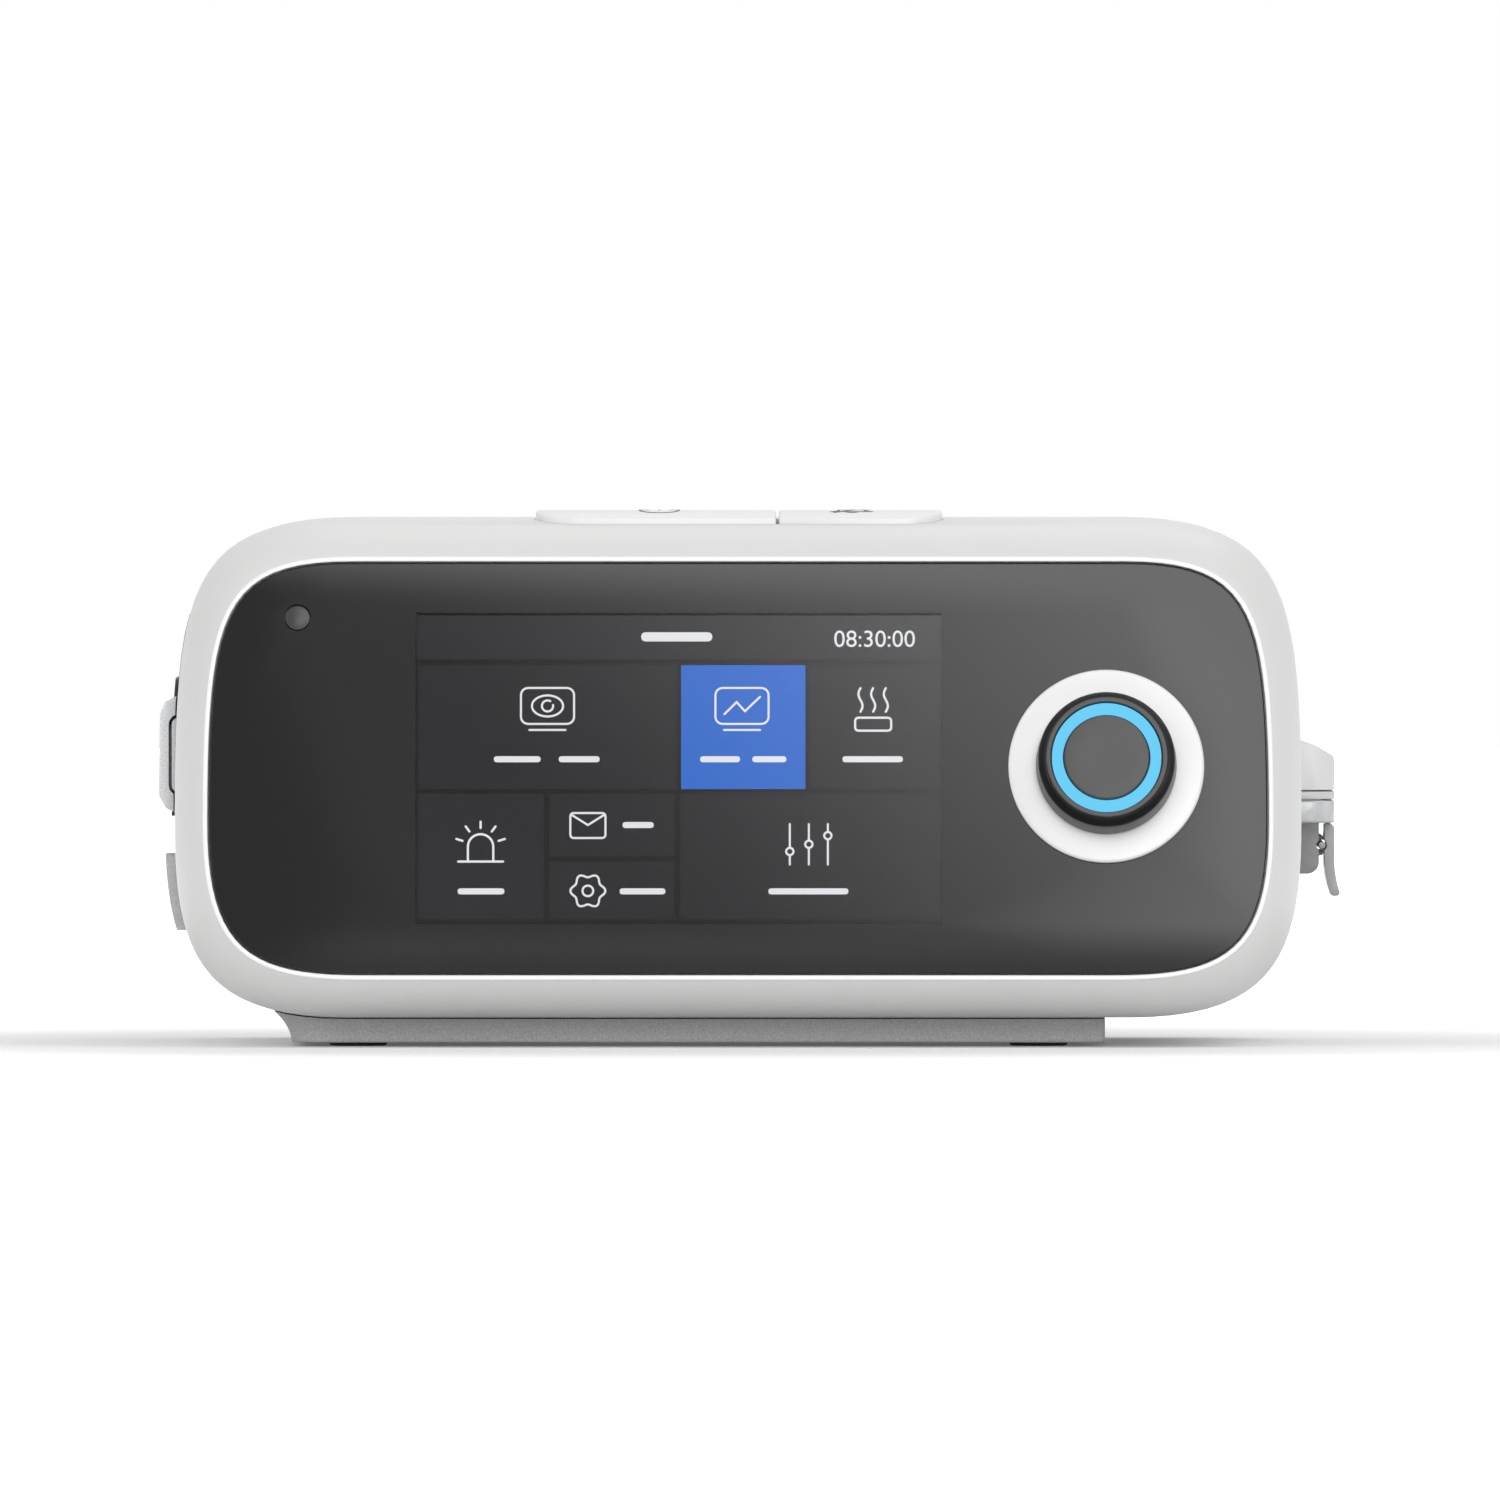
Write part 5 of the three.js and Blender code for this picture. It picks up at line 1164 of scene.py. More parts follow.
clock.location = (screen_left + 94.2 * mm, (tile_front + sign_front) / 2, screen_foot + 59.5 * mm)
show(clock, sign_glow)

# Soft box. A pale card in front and above is seen only in the lens, as the slow change from dark
# at its left to grey at its right.
card_distance = 0.45
card_dark, card_bright = 0.42, 3.5
card_rise = 2 * lean - camera_rise
bpy.ops.object.select_all(action="DESELECT")
bpy.ops.mesh.primitive_plane_add(size=1)
card = bpy.context.object
card.name = "soft_box_card"
card.scale = (0.7, 0.5, 1)
card.location = (
    middle_x, panel_y - card_distance * math.cos(card_rise), widest + card_distance * math.sin(card_rise))
card.rotation_euler = (math.pi / 2 - card_rise, 0, 0)
bpy.ops.object.transform_apply(location=False, rotation=False, scale=True)
card_light = bpy.data.materials.new("soft_box_light")
card_light.use_nodes = True
nodes, links = card_light.node_tree.nodes, card_light.node_tree.links
nodes.remove(nodes["Principled BSDF"])
turn = nodes.new("ShaderNodeVectorRotate")
turn.rotation_type = "Z_AXIS"
turn.inputs["Angle"].default_value = math.radians(-45)
split = nodes.new("ShaderNodeSeparateXYZ")
glow = nodes.new("ShaderNodeEmission")
clear = nodes.new("ShaderNodeBsdfTransparent")
seen = nodes.new("ShaderNodeLightPath")
choose = nodes.new("ShaderNodeMixShader")
links.new(object_place(card_light.node_tree), turn.inputs["Vector"])
links.new(turn.outputs["Vector"], split.inputs["Vector"])
slide = map_range(card_light.node_tree, split.outputs["X"], card_dark, card_bright, -0.035, 0.15, smooth=True)
links.new(slide, glow.inputs["Strength"])
links.new(seen.outputs["Is Glossy Ray"], choose.inputs["Fac"])
links.new(clear.outputs["BSDF"], choose.inputs[1])
links.new(glow.outputs["Emission"], choose.inputs[2])
links.new(choose.outputs["Shader"], nodes["Material Output"].inputs["Surface"])
card.data.materials.append(card_light)

# Keys. Two white keys of matt polycarbonate share one lozenge in the top of the front housing; a
# flange under each keeps it in, and its top slopes down to the user. The signs are printed.
key_split = middle_x + 8.1 * mm
key_gap = 0.6 * mm
key_slope = 1.4 * mm
key_crest = 0.6  # share of the depth, where the slope ends
key_edge = 0.45 * mm
flange_height = 1.3 * mm
key_row_depth = key_row_high.y - key_row_low.y
crest_y = key_row_low.y + key_crest * key_row_depth
slope_angle = math.atan2(key_slope, key_crest * key_row_depth)
print_room = 0.15 * mm  # the printed signs stand this much below the top of the CAD key
key_top = key_row_high.z - print_room
white_satin = moulded("white_key_plastic", (0.84, 0.84, 0.835), 0.38, grain=0.35, depth=0.012)


def join_up(piece, *others):
    """Adds the others to the piece as one closed body."""
    combine(piece, "UNION", *others)


def key(name, x_low, x_high):
    """The share of the lozenge between two levels of x, sloped, with its flange."""
    top = key_row_high - Vector((0, 0, print_room))
    made = rounded_box(name, key_row_low, top, key_corner, segments=16)
    slope = block("slope", (key_row_low.x - beyond, -beyond, 0), (key_row_high.x + beyond, 0, beyond))
    slope.location = (0, crest_y, key_top)
    slope.rotation_euler = (slope_angle, 0, 0)
    keep_place()
    flange = rounded_box(
        "flange",
        key_row_low - Vector((key_flange, key_flange, 0)),
        (key_row_high.x + key_flange, key_row_high.y + key_flange, key_row_low.z + flange_height),
        key_corner + key_flange, segments=16,
    )
    cut_away(made, slope)
    join_up(made, flange)
    low = cad_low - Vector((beyond, beyond, beyond))
    high = cad_high + Vector((beyond, beyond, beyond))
    cut_away(made, block("left_of_key", low, (x_low, high.y, high.z)))
    cut_away(made, block("right_of_key", (x_high, low.y, low.z), high))
    break_edges(made, key_edge, segments=3, angle=40)
    return made


power_key = key("power_key_cap", key_low.x - beyond, key_split - key_gap / 2)
settle(power_key, "power_key", "white_key", white_satin, "power_key")
alarm_key = key("alarm_mute_key_cap", key_split + key_gap / 2, key_right + beyond)
settle(alarm_key, "alarm_mute_key", "white_key", white_satin, "alarm_mute_key")

# Signs on the keys. Grey pad print, half on each key's slope and half on its level back: a power
# sign, and a bell with a stroke through it.
print_grey = moulded("grey_key_print", (0.11, 0.11, 0.115), 0.5, grain=0.3, depth=0.003, shade=0.1)
print_width = 0.55


def printed(name, x, on_slope, on_top):
    """A sign about a point of the crest, from its strokes on the slope and those behind it."""
    halves = []
    for strokes, angle in ((on_slope, slope_angle), (on_top, 0.0)):
        half = sign(name, strokes, print_width)
        half.data.transform(Matrix.Translation((-screen_left, -tile_front, -screen_foot)))
        half.rotation_euler = (angle - math.pi / 2, 0, 0)
        half.location = (x, crest_y, key_top)
        halves.append(half)
    bpy.ops.object.select_all(action="DESELECT")
    for half in halves:
        half.select_set(True)
    keep_place()
    bpy.context.view_layer.objects.active = halves[0]
    bpy.ops.object.join()
    return halves[0]


power_sign = printed("power_sign", middle_x - 16.2 * mm, [
    (arc(0, 0, 4.0, 180, 360), False),
], [
    (arc(0, 0, 4.0, 0, 55, 10), False),
    (arc(0, 0, 4.0, 125, 180, 10), False),
    ([(0, 1.0), (0, 3.0), (0, 5.0)], False),
])
settle(power_sign, "power_key", "dark_plastic", print_grey)
bell_sign = printed("crossed_bell_sign", middle_x + 23.4 * mm, [
    ([(-2.6, 0), (-2.8, -1.2), (-4.0, -2.4), (0, -2.4), (4.0, -2.4), (2.8, -1.2), (2.6, 0)], False),
    (arc(0, -2.4, 1.2, 180, 360, 10), False),
    ([(-3.6, -3.6), (-1.8, -1.8), (0, 0)], False),
], [
    (arc(0, 0, 2.6, 0, 180, 20), False),
    ([(0, 0), (1.8, 1.8), (3.6, 3.6)], False),
])
settle(bell_sign, "alarm_mute_key", "dark_plastic", print_grey)

# Pedestal. A speckled grey foot of glass-filled plastic carries the machine. It flares up to the
# body at its left, front and back, ends square at the right, and is ribbed below.
pedestal_low, pedestal_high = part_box("pedestal")
flare_reach = 6.5 * mm
flare_height = 8.7 * mm
flare_steps = 14
pedestal_corner = 6 * mm
pedestal_end_corner = 1.5 * mm
pedestal_foot_edge = 0.5 * mm
pedestal_right = pedestal_high.x
pedestal_left = pedestal_right - 167.2 * mm
stand_front = pedestal_low.y + 2.6 * mm
stand_back = pedestal_high.y - 2.7 * mm
pocket_rib = 3 * mm
pocket_count = 4
pocket_depth = 2.2 * mm
pocket_from_foot = 16 * mm
pocket_from_edge = 10 * mm
pedestal_grey = moulded("speckled_grey_plastic", (0.5, 0.5, 0.505), 0.62, grain=0.5, depth=0.02,
                        shade=0.05, dots=(0.4, 0.38, 0.8, 1.3))


def level_ring(low, high, radii, z, steps=8):
    """A level rectangle with its own radius at each corner, anticlockwise from the right front."""
    corners = ((high.x, low.y, -1), (high.x, high.y, 0), (low.x, high.y, 1), (low.x, low.y, 2))
    points = []
    for (x, y, quarter_turn), radius in zip(corners, radii):
        centre = Vector((
            x - math.copysign(radius, x - (low.x + high.x) / 2),
            y - math.copysign(radius, y - (low.y + high.y) / 2),
            z,
        ))
        for step in range(steps + 1):
            turn = (quarter_turn + step / steps) * math.pi / 2
            points.append(centre + Vector((math.cos(turn), math.sin(turn), 0)) * radius)
    return points


def pedestal_ring(flare, z, inset=0.0):
    """The pedestal's plan at a level, with how far it has flared out there."""
    low = Vector((pedestal_left - flare + inset, stand_front - flare + inset, z))
    high = Vector((pedestal_right - inset, stand_back + flare - inset, z))
    radii = (pedestal_end_corner, pedestal_end_corner, pedestal_corner, pedestal_corner)
    return level_ring(low, high, radii, z)


pedestal = loft("pedestal_moulding", [
    *[pedestal_ring(0, pedestal_low.z + step_in, pedestal_foot_edge - step_on)
      for step_in, step_on in quarter(pedestal_foot_edge)],
    *[pedestal_ring(
        flare_reach * (step / flare_steps) ** 2, pedestal_low.z + flare_height * step / flare_steps)
      for step in range(1, flare_steps + 1)],
])
envelope = loft("body_envelope", [
    leaning(body_outline(-fit), roll_depth / 2),
    upright(body_outline(-fit), cad_high.y + beyond),
])
feet = ("foot_front_left", "foot_front_right", "foot_rear_left", "foot_rear_right")
foot_radius = 6 * mm
foot_height = 2.5 * mm
foot_middles = [(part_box(name)[0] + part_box(name)[1]) / 2 for name in feet]
pocket_low = Vector((foot_middles[0].x + pocket_from_foot, stand_front + pocket_from_edge, -fit))
pocket_high = Vector((
    foot_middles[1].x - pocket_from_foot, stand_back - pocket_from_edge, pedestal_low.z + pocket_depth))
pocket_width = (pocket_high.x - pocket_low.x - pocket_rib * (pocket_count - 1)) / pocket_count
pockets = []
for index in range(pocket_count):
    x = pocket_low.x + index * (pocket_width + pocket_rib)
    pockets.append(rounded_box(
        f"pocket_{index}", (x, pocket_low.y, pocket_low.z), (x + pocket_width, pocket_high.y, pocket_high.z),
        1.5 * mm, segments=5,
    ))
for index, place in enumerate(foot_middles):
    pockets.append(cylinder(
        f"foot_pocket_{index}", (place.x, place.y, 0), foot_radius + fit, 2 * (foot_height + fit),
        axis="Z", vertices=48))
cut_away(pedestal, envelope, *pockets)
settle(pedestal, "body", "grey_plastic", pedestal_grey, "pedestal")

# Feet. Four discs of soft grey rubber pressed into pockets of the pedestal, each with two tread
# rings.
foot_rubber = moulded("grey_foot_rubber", (0.2, 0.2, 0.203), 0.75, grain=0.3, depth=0.03, shade=0.15)


def spun(name, profile, place, steps=48, axis="Z"):
    """A profile of (radius, height) points spun round an upright axis, or one along X or Y."""
    made = turned(name, [(radius, -height) for radius, height in profile], 0, 0, steps)
    made.rotation_euler = {"Z": (-math.pi / 2, 0, 0), "Y": (0, 0, math.pi), "X": (0, 0, math.pi / 2)}[axis]
    made.location = place
    keep_place()
    return made


for name, place in zip(feet, foot_middles):
    foot = spun(f"{name}_rubber", [
        (0, 0.4 * mm),
        (2.2 * mm, 0.4 * mm),
        (2.5 * mm, 0),
        (3.2 * mm, 0),
        (3.5 * mm, 0.4 * mm),
        (4.2 * mm, 0.4 * mm),
        (4.5 * mm, 0),
        (5.4 * mm, 0),
        (5.8 * mm, 0.15 * mm),
        (foot_radius, 0.5 * mm),
        (foot_radius, foot_height),
        (0, foot_height),
    ], (place.x, place.y, 0))
    settle(foot, "body", "black_rubber", foot_rubber, name)

# Left side panel. A dark matt sheet follows the body's left side in a shallow pocket; the air filter
# and the data socket sit in its two windows.
dark_matt = moulded("dark_matt_plastic", (0.045, 0.045, 0.048), 0.5, grain=0.5, depth=0.03, shade=0.12)
side_proud = 0.3 * mm
side_depth = 1.2 * mm
window_reach = 20 * mm
filter_low = Vector((left_end, -9.156 * mm, 50.5 * mm))
filter_high = Vector((shell_low.x + window_reach, 38.844 * mm, 69 * mm))
filter_corner = 3 * mm
data_low = Vector((left_end, -0.156 * mm, 27 * mm))
data_high = Vector((shell_low.x + window_reach, 17.844 * mm, 36 * mm))
data_corner = 1.5 * mm


def common(piece, tool):
    """Keeps what the piece and the tool share."""
    combine(piece, "INTERSECT", tool)


def side_skin(name, outer, inner, window):
    """A sheet between two insets of the body's outline, as large as a window in its side."""
    made = loft(name, [
        leaning(body_outline(inner), seam_depth),
        leaning(body_outline(outer), seam_depth),
        upright(body_outline(outer), housing_end),
        upright(body_outline(inner), housing_end),
    ], looped=True)
    common(made, window)
    return made


def body_block(name, inset):
    """The body behind the seam as one solid, moved inwards by an inset."""
    return loft(name, [
        leaning(body_outline(inset), seam_depth - 2 * mm),
        upright(body_outline(inset), housing_end + 2 * mm),
    ])


side_x = shell_low.x + 30 * mm
side_panel = side_skin(
    "side_panel_sheet", -side_proud, side_depth,
    side_prism("side_window", "left_side_panel", 0, left_end, side_x, side_corner))
tab_low, tab_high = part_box("filter_release_tab")
tab_slot = 0.6 * mm
tab_corner = 1.5 * mm
tab_travel = 1.5 * mm
tab_recess = block(
    "tab_recess",
    (left_end, tab_low.y - fit, tab_low.z - tab_slot),
    (side_x, tab_high.y + tab_travel + fit, tab_high.z + tab_slot),
)
cut_away(tab_recess, body_block("under_recess", tab_slot))
cut_away(
    side_panel, tab_recess,
    rounded_box("filter_window", filter_low, filter_high, filter_corner, axis="X"),
    rounded_box("data_window", data_low, data_high, data_corner, axis="X"),
)
break_edges(side_panel, 0.2 * mm)
settle(side_panel, "body", "dark_plastic", dark_matt, "left_side_panel")

# Filter frame and pad. A dark flanged sleeve is clipped into the side window. A white pleated pad
# of polyester fleece is pushed into it, against a grid of three windows.
frame_low, frame_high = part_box("filter_frame")
frame_flange = 0.6 * mm
sleeve_wall = 1.5 * mm
pad_corner = 1.2 * mm
grid_bar = 3 * mm
grid_depth = 1.2 * mm
grid_count = 3
sleeve_low = Vector((frame_low.x - beyond, filter_low.y + fit, filter_low.z + fit))
sleeve_high = Vector((frame_high.x, filter_high.y - fit, filter_high.z - fit))
filter_frame = side_skin(
    "filter_frame_moulding", -side_proud - fit - frame_flange, -side_proud - fit,
    rounded_box(
        "flange_window", (left_end, frame_low.y, frame_low.z), (side_x, frame_high.y, frame_high.z),
        4 * mm, axis="X", segments=10))
sleeve = rounded_box("sleeve", sleeve_low, sleeve_high, filter_corner - fit, axis="X")
common(sleeve, body_block("sleeve_end", -side_proud - fit - frame_flange))
join_up(filter_frame, sleeve)
bore_low = sleeve_low + Vector((0, sleeve_wall, sleeve_wall))
bore_high = sleeve_high - Vector((grid_depth, sleeve_wall, sleeve_wall))
grid_span = (bore_high.y - bore_low.y - (grid_count + 1) * grid_bar) / grid_count
grid_windows = []
for index in range(grid_count):
    y = bore_low.y + grid_bar + index * (grid_span + grid_bar)
    grid_windows.append(rounded_box(
        f"grid_{index}", (bore_low.x, y, bore_low.z + grid_bar),
        (bore_high.x + beyond, y + grid_span, bore_high.z - grid_bar), 1 * mm, axis="X", segments=4))
bore = rounded_box("bore", bore_low, bore_high, pad_corner, axis="X", segments=5)
cut_away(filter_frame, bore, *grid_windows)
settle(filter_frame, "body", "dark_plastic", dark_matt, "filter_frame")

fleece = moulded("white_fleece", (0.82, 0.82, 0.79), 0.95, grain=0.25, depth=0.15, shade=0.12)
pad_low, pad_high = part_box("filter_pad")
pad = rounded_box("filter_pad_fleece", pad_low, pad_high, pad_corner, axis="X", segments=5)
pleat_count = 12
pleat_width = 1 * mm
pleat_depth = 2.5 * mm
pleat_margin = 1 * mm
pleats = []
for index in range(pleat_count):
    y = pad_low.y + (index + 1) * (pad_high.y - pad_low.y) / (pleat_count + 1)
    pleats.append(rounded_box(
        f"pleat_{index}", (pad_low.x - pleat_margin, y - pleat_width / 2, pad_low.z + pleat_margin),
        (pad_low.x + pleat_depth, y + pleat_width / 2, pad_high.z - pleat_margin), 0.45 * mm, segments=3))
cut_away(pad, *pleats)
break_edges(pad, 0.3 * mm)
settle(pad, "body", "white_foam", fleece, "filter_pad")

# Filter cover. A C-shaped clip of silver speckled plastic stands proud of the side, with louvres
# for the intake; a sprung tab in its front end frees it.
silver_speckled = moulded("silver_speckled_plastic", (0.85, 0.86, 0.875), 0.45, grain=0.4, depth=0.015,
                          shade=0.05, dots=(0.4, 0.4, 0.75, 1.3))
cover_low, cover_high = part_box("filter_cover")
cover_seat = 3.8 * mm
cover_shoulder = 2.3 * mm
cover_proud = 3.7 * mm
cover_bottom = 47.6 * mm
cover_top = 71.75 * mm


def cover_profile():
    """The clip's section, across the body and up, with its corners rounded."""
    side = shell_low.x
    return rounded([
        (side + cover_seat, cover_bottom),
        (side, cover_bottom),
        (side - cover_shoulder, cover_bottom + cover_shoulder / 2),
        (side - cover_proud, cover_bottom + cover_proud),
        (side - cover_proud + fit, cover_top - cover_proud),
        (side - cover_shoulder, cover_top - cover_shoulder / 2),
        (side, cover_top),
        (side + cover_seat, cover_top),
    ], {1: 1.2 * mm, 2: 1 * mm, 3: 1 * mm, 4: 1 * mm, 5: 1 * mm, 6: 1.2 * mm})


filter_cover = loft("filter_cover_clip", [
    [Vector((x, y, z)) for x, z in cover_profile()] for y in (cover_low.y, cover_high.y)
])
frame_space = block(
    "frame_space", (left_end, frame_low.y - fit, cover_low.z - beyond),
    (side_x, frame_high.y + fit, cover_high.z + beyond))
common(frame_space, body_block("over_frame", -side_proud - 2 * fit - frame_flange))
tab_hole = rounded_box(
    "tab_hole",
    (tab_low.x - tab_slot, cover_low.y - 1 * mm, tab_low.z - tab_slot),
    (side_x, tab_high.y + tab_travel + fit, tab_high.z + tab_slot),
    tab_corner + tab_slot, axis="Y", segments=6)
louvre_count = 7
louvre_pitch = 6 * mm
louvre_width = 2 * mm
louvre_middle = 18.844 * mm
louvre_foot = 55 * mm
louvre_top = 65 * mm
louvres = []
for index, y in enumerate(row(louvre_middle, louvre_count, louvre_pitch)):
    louvres.append(rounded_box(
        f"louvre_{index}", (cover_low.x - 1 * mm, y - louvre_width / 2, louvre_foot),
        (shell_low.x, y + louvre_width / 2, louvre_top), louvre_width * nearly_half, axis="X", segments=5))
break_edges(filter_cover, 0.5 * mm, segments=3, angle=60)
cut_away(filter_cover, body_block("under_cover", -side_proud - fit), frame_space, tab_hole, *louvres)
settle(filter_cover, "filter_cover", "silver_plastic", silver_speckled, "filter_cover")

release_tab = rounded_box(
    "release_tab", tab_low, (shell_low.x + 2 * shell_wall, tab_high.y, tab_high.z),
    tab_corner, axis="Y", segments=6)
break_edges(release_tab, 0.3 * mm, angle=60)
cut_away(release_tab, body_block("under_tab", fit))
settle(release_tab, "filter_release_tab", "silver_plastic", silver_speckled, "filter_release_tab")

# Port cover and data socket. A flap of soft grey rubber, hinged at its rear edge, keeps dust out
# of a tinned steel socket.
grey_rubber = moulded("grey_rubber", (0.86, 0.86, 0.865), 0.7, grain=0.35, depth=0.02,
                      shade=0.06, dots=(0.45, 0.35, 0.85, 1.15))
flap_thickness = 2.1 * mm
flap_corner = 3 * mm
flap = side_skin(
    "port_flap", -side_proud - fit - flap_thickness, -side_proud - fit,
    side_prism("flap_window", "port_cover", 0, left_end, side_x, flap_corner))
break_edges(flap, 1.0 * mm, segments=5)
settle(flap, "port_cover", "grey_rubber", grey_rubber, "port_cover")

socket_low, socket_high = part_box("data_socket")
tinned = moulded("tinned_steel", (0.62, 0.62, 0.63), 0.3, grain=0.3, depth=0.003, shade=0.1,
                 gloss_change=0.1, Metallic=1.0)
socket_shell = rounded_box(
    "data_socket_shell", (socket_low.x - beyond, socket_low.y, socket_low.z),
    socket_high, 1.2 * mm, axis="X", segments=6)
socket_wall = 1.1 * mm
cut_away(socket_shell, rounded_box(
    "socket_bore",
    (socket_low.x - 2 * beyond, socket_low.y + socket_wall, socket_low.z + socket_wall),
    (socket_high.x - 2 * socket_wall, socket_high.y - socket_wall, socket_high.z - socket_wall),
    0.5 * mm, axis="X", segments=4))
common(socket_shell, body_block("socket_end", fit))
settle(socket_shell, "body", "steel", tinned, "data_socket")

# Air outlet. A grey 22 mm cone of hard plastic stands out of the rear cover, with a flange inside
# it and a shallow groove for the hose's cuff.
outlet_grey = moulded("outlet_grey_plastic", (0.36, 0.36, 0.365), 0.5, grain=0.5, depth=0.02, shade=0.08)
cover_inside = rear_high.y - shell_wall - fit
outlet_flange = 2 * mm
outlet_bore = 8.75 * mm
outlet_flange_radius = 14.5 * mm
groove_depth = 0.5 * mm
outlet_end = outlet_high.y
outlet = spun("outlet_cone", rounded([
    (outlet_bore, outlet_end),
    (outlet_bore, cover_inside - outlet_flange),
    (outlet_flange_radius, cover_inside - outlet_flange),
    (outlet_flange_radius, cover_inside),
    (outlet_radius, cover_inside),
    (outlet_radius, rear_high.y),
    (outlet_radius - 0.1 * mm, rear_high.y + 5 * mm),
    (outlet_radius - groove_depth, rear_high.y + 5.4 * mm),
    (outlet_radius - groove_depth, rear_high.y + 6.6 * mm),
    (outlet_radius - 0.15 * mm, rear_high.y + 7 * mm),
    (outlet_radius - 0.3 * mm, outlet_end),
], {0: 0.8 * mm, 10: 0.6 * mm, 2: 0.3 * mm, 3: 0.3 * mm}),
    (outlet_middle.x, 0, outlet_middle.z), steps=96, axis="Y")
settle(outlet, "body", "grey_plastic", outlet_grey, "outlet_port")

# Power socket. A barrel socket of black plastic stands out of its block, which is fixed behind the
# rear cover, and a tinned steel pin is pressed into the middle of its bore.
jack_black = moulded("jack_black_plastic", (0.02, 0.02, 0.021), 0.45, grain=0.6, depth=0.01, shade=0.2)
jack_block = rounded_box(
    "jack_block", jack_low, (jack_high.x, cover_inside, jack_high.z), 0.8 * mm, axis="Y", segments=4)
jack_bore = 4 * mm
join_up(jack_block, spun("jack_barrel", rounded([
    (0, cover_inside - 1 * mm),
    (jack_radius, cover_inside - 1 * mm),
    (jack_radius, jack_high.y),
    (0, jack_high.y),
], {2: 0.4 * mm}), (jack_middle.x, 0, jack_middle.z), steps=64, axis="Y"))
cut_away(jack_block, cylinder(
    "jack_bore", (jack_middle.x, jack_high.y, jack_middle.z), jack_bore,
    2 * (jack_high.y - jack_middle.y), vertices=48))
settle(jack_block, "body", "black_rubber", jack_black, "power_socket")
pin_radius = 1 * mm
jack_pin = spun("jack_pin", rounded([
    (0, jack_middle.y - 0.5 * mm),
    (pin_radius, jack_middle.y - 0.5 * mm),
    (pin_radius, jack_high.y - 1.5 * mm),
    (0, jack_high.y - 1.5 * mm),
], {2: 0.6 * mm}), (jack_middle.x, 0, jack_middle.z), steps=32, axis="Y")
settle(jack_pin, "body", "steel", tinned)

# Humidifier bay. A dark box with its mouth in the right side; the heater stands in its floor and
# two slots in its far wall pass the air.
heater_low, heater_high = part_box("heater_plate")
seal_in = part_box("bay_seal_in")
seal_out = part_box("bay_seal_out")
port_half = Vector((0, 8 * mm, 2.9 * mm))
port_corner = 1.45 * mm
port_middles = [(low + high) / 2 for low, high in (seal_in, seal_out)]


def port_slot(name, middle, margin, x_low, x_high):
    """An air slot in the bay's far wall, or its seal, as a rounded block along X."""
    reach = port_half + Vector((0, margin, margin))
    return rounded_box(
        name, (x_low, middle.y - reach.y, middle.z - reach.z),
        (x_high, middle.y + reach.y, middle.z + reach.z), port_corner + margin, axis="X", segments=6)


bay = rounded_box(
    "bay_moulding", bay_low, (right_end, bay_high.y, bay_high.z), bay_wall + bay_corner, axis="X")
common(bay, body_block("bay_end", shell_wall + fit))
cut_away(
    bay,
    rounded_box(
        "bay_space", (bay_low.x + bay_wall, *bay_mouth_low[1:]), bay_mouth_high, bay_corner, axis="X"),
    block(
        "heater_window", (heater_low.x - fit, heater_low.y - fit, bay_low.z - 1 * mm),
        (heater_high.x + fit, heater_high.y + fit, bay_mouth_low.z + 1 * mm)),
    *[port_slot(f"port_{index}", middle, 0, bay_low.x - 1 * mm, bay_low.x + bay_wall + 1 * mm)
      for index, middle in enumerate(port_middles)],
)
break_edges(bay, 0.25 * mm, angle=60)
settle(bay, "body", "dark_plastic", dark_matt, "humidifier_bay")

seal_rubber = moulded("silicone_seal", (0.3, 0.3, 0.305), 0.6, grain=0.6, depth=0.01, shade=0.1)
for name, middle, (low, high) in zip(("bay_seal_in", "bay_seal_out"), port_middles, (seal_in, seal_out)):
    seal = port_slot(f"{name}_rubber", middle, bay_wall, low.x, high.x)
    cut_away(seal, port_slot("seal_bore", middle, 0, low.x - 1 * mm, high.x + 1 * mm))
    break_edges(seal, 0.35 * mm, segments=3, angle=60)
    settle(seal, "body", "grey_rubber", seal_rubber, name)

# Tank. A clear polycarbonate box on a steel base plate slides into the bay. Its nose stands out of
# the right side, and the end block below the nose carries the latch.
tank_low, tank_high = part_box("tank_body")
tank_wall = 2 * mm
tank_corner = 4 * mm
tank_side_inset = 0.4 * mm
ear_proud = 0.9 * mm
lid_low, lid_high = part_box("tank_lid")
nose_x = lid_high.x
nose_inset = 15.2 * mm
nose_length = 25.2 * mm
nose_depth = 4.6 * mm
nose_corner = 5 * mm
nose_bottom = tank_high.z - nose_depth
light_above = nose_bottom + 0.6 * mm
dark_below = nose_bottom - 0.6 * mm


def clear_darker_below_nose(name, upper, lower, roughness, transmission):
    """Clear plastic that is light in the nose and darker below the nose's lower edge."""
    made = material(name, upper, roughness, Transmission_Weight=transmission, IOR=1.5)
    tree = made.node_tree
    shader = tree.nodes["Principled BSDF"]
    surface = use_group(tree.nodes, fine_grain, Grain_Size=2.0, Patch_Size=18.0)
    split = tree.nodes.new("ShaderNodeSeparateXYZ")
    tree.links.new(object_place(tree), split.inputs["Vector"])
    level = map_range(tree, split.outputs["Z"], 0.0, 1.0, dark_below, light_above, smooth=True)
    cloud = map_range(tree, surface["Patches"], roughness * 0.7, roughness * 1.3)
    tree.links.new(mix_colour(made, level, lower, upper), shader.inputs["Base Color"])
    tree.links.new(cloud, shader.inputs["Roughness"])
    return made


clear_plastic = clear_darker_below_nose("clear_polycarbonate", (0.82, 0.83, 0.84), (0.36, 0.365, 0.37), 0.16, 0.4)
latch_plastic = clear_darker_below_nose("latch_polycarbonate", (0.45, 0.455, 0.46), (0.45, 0.455, 0.46), 0.2, 0.35)


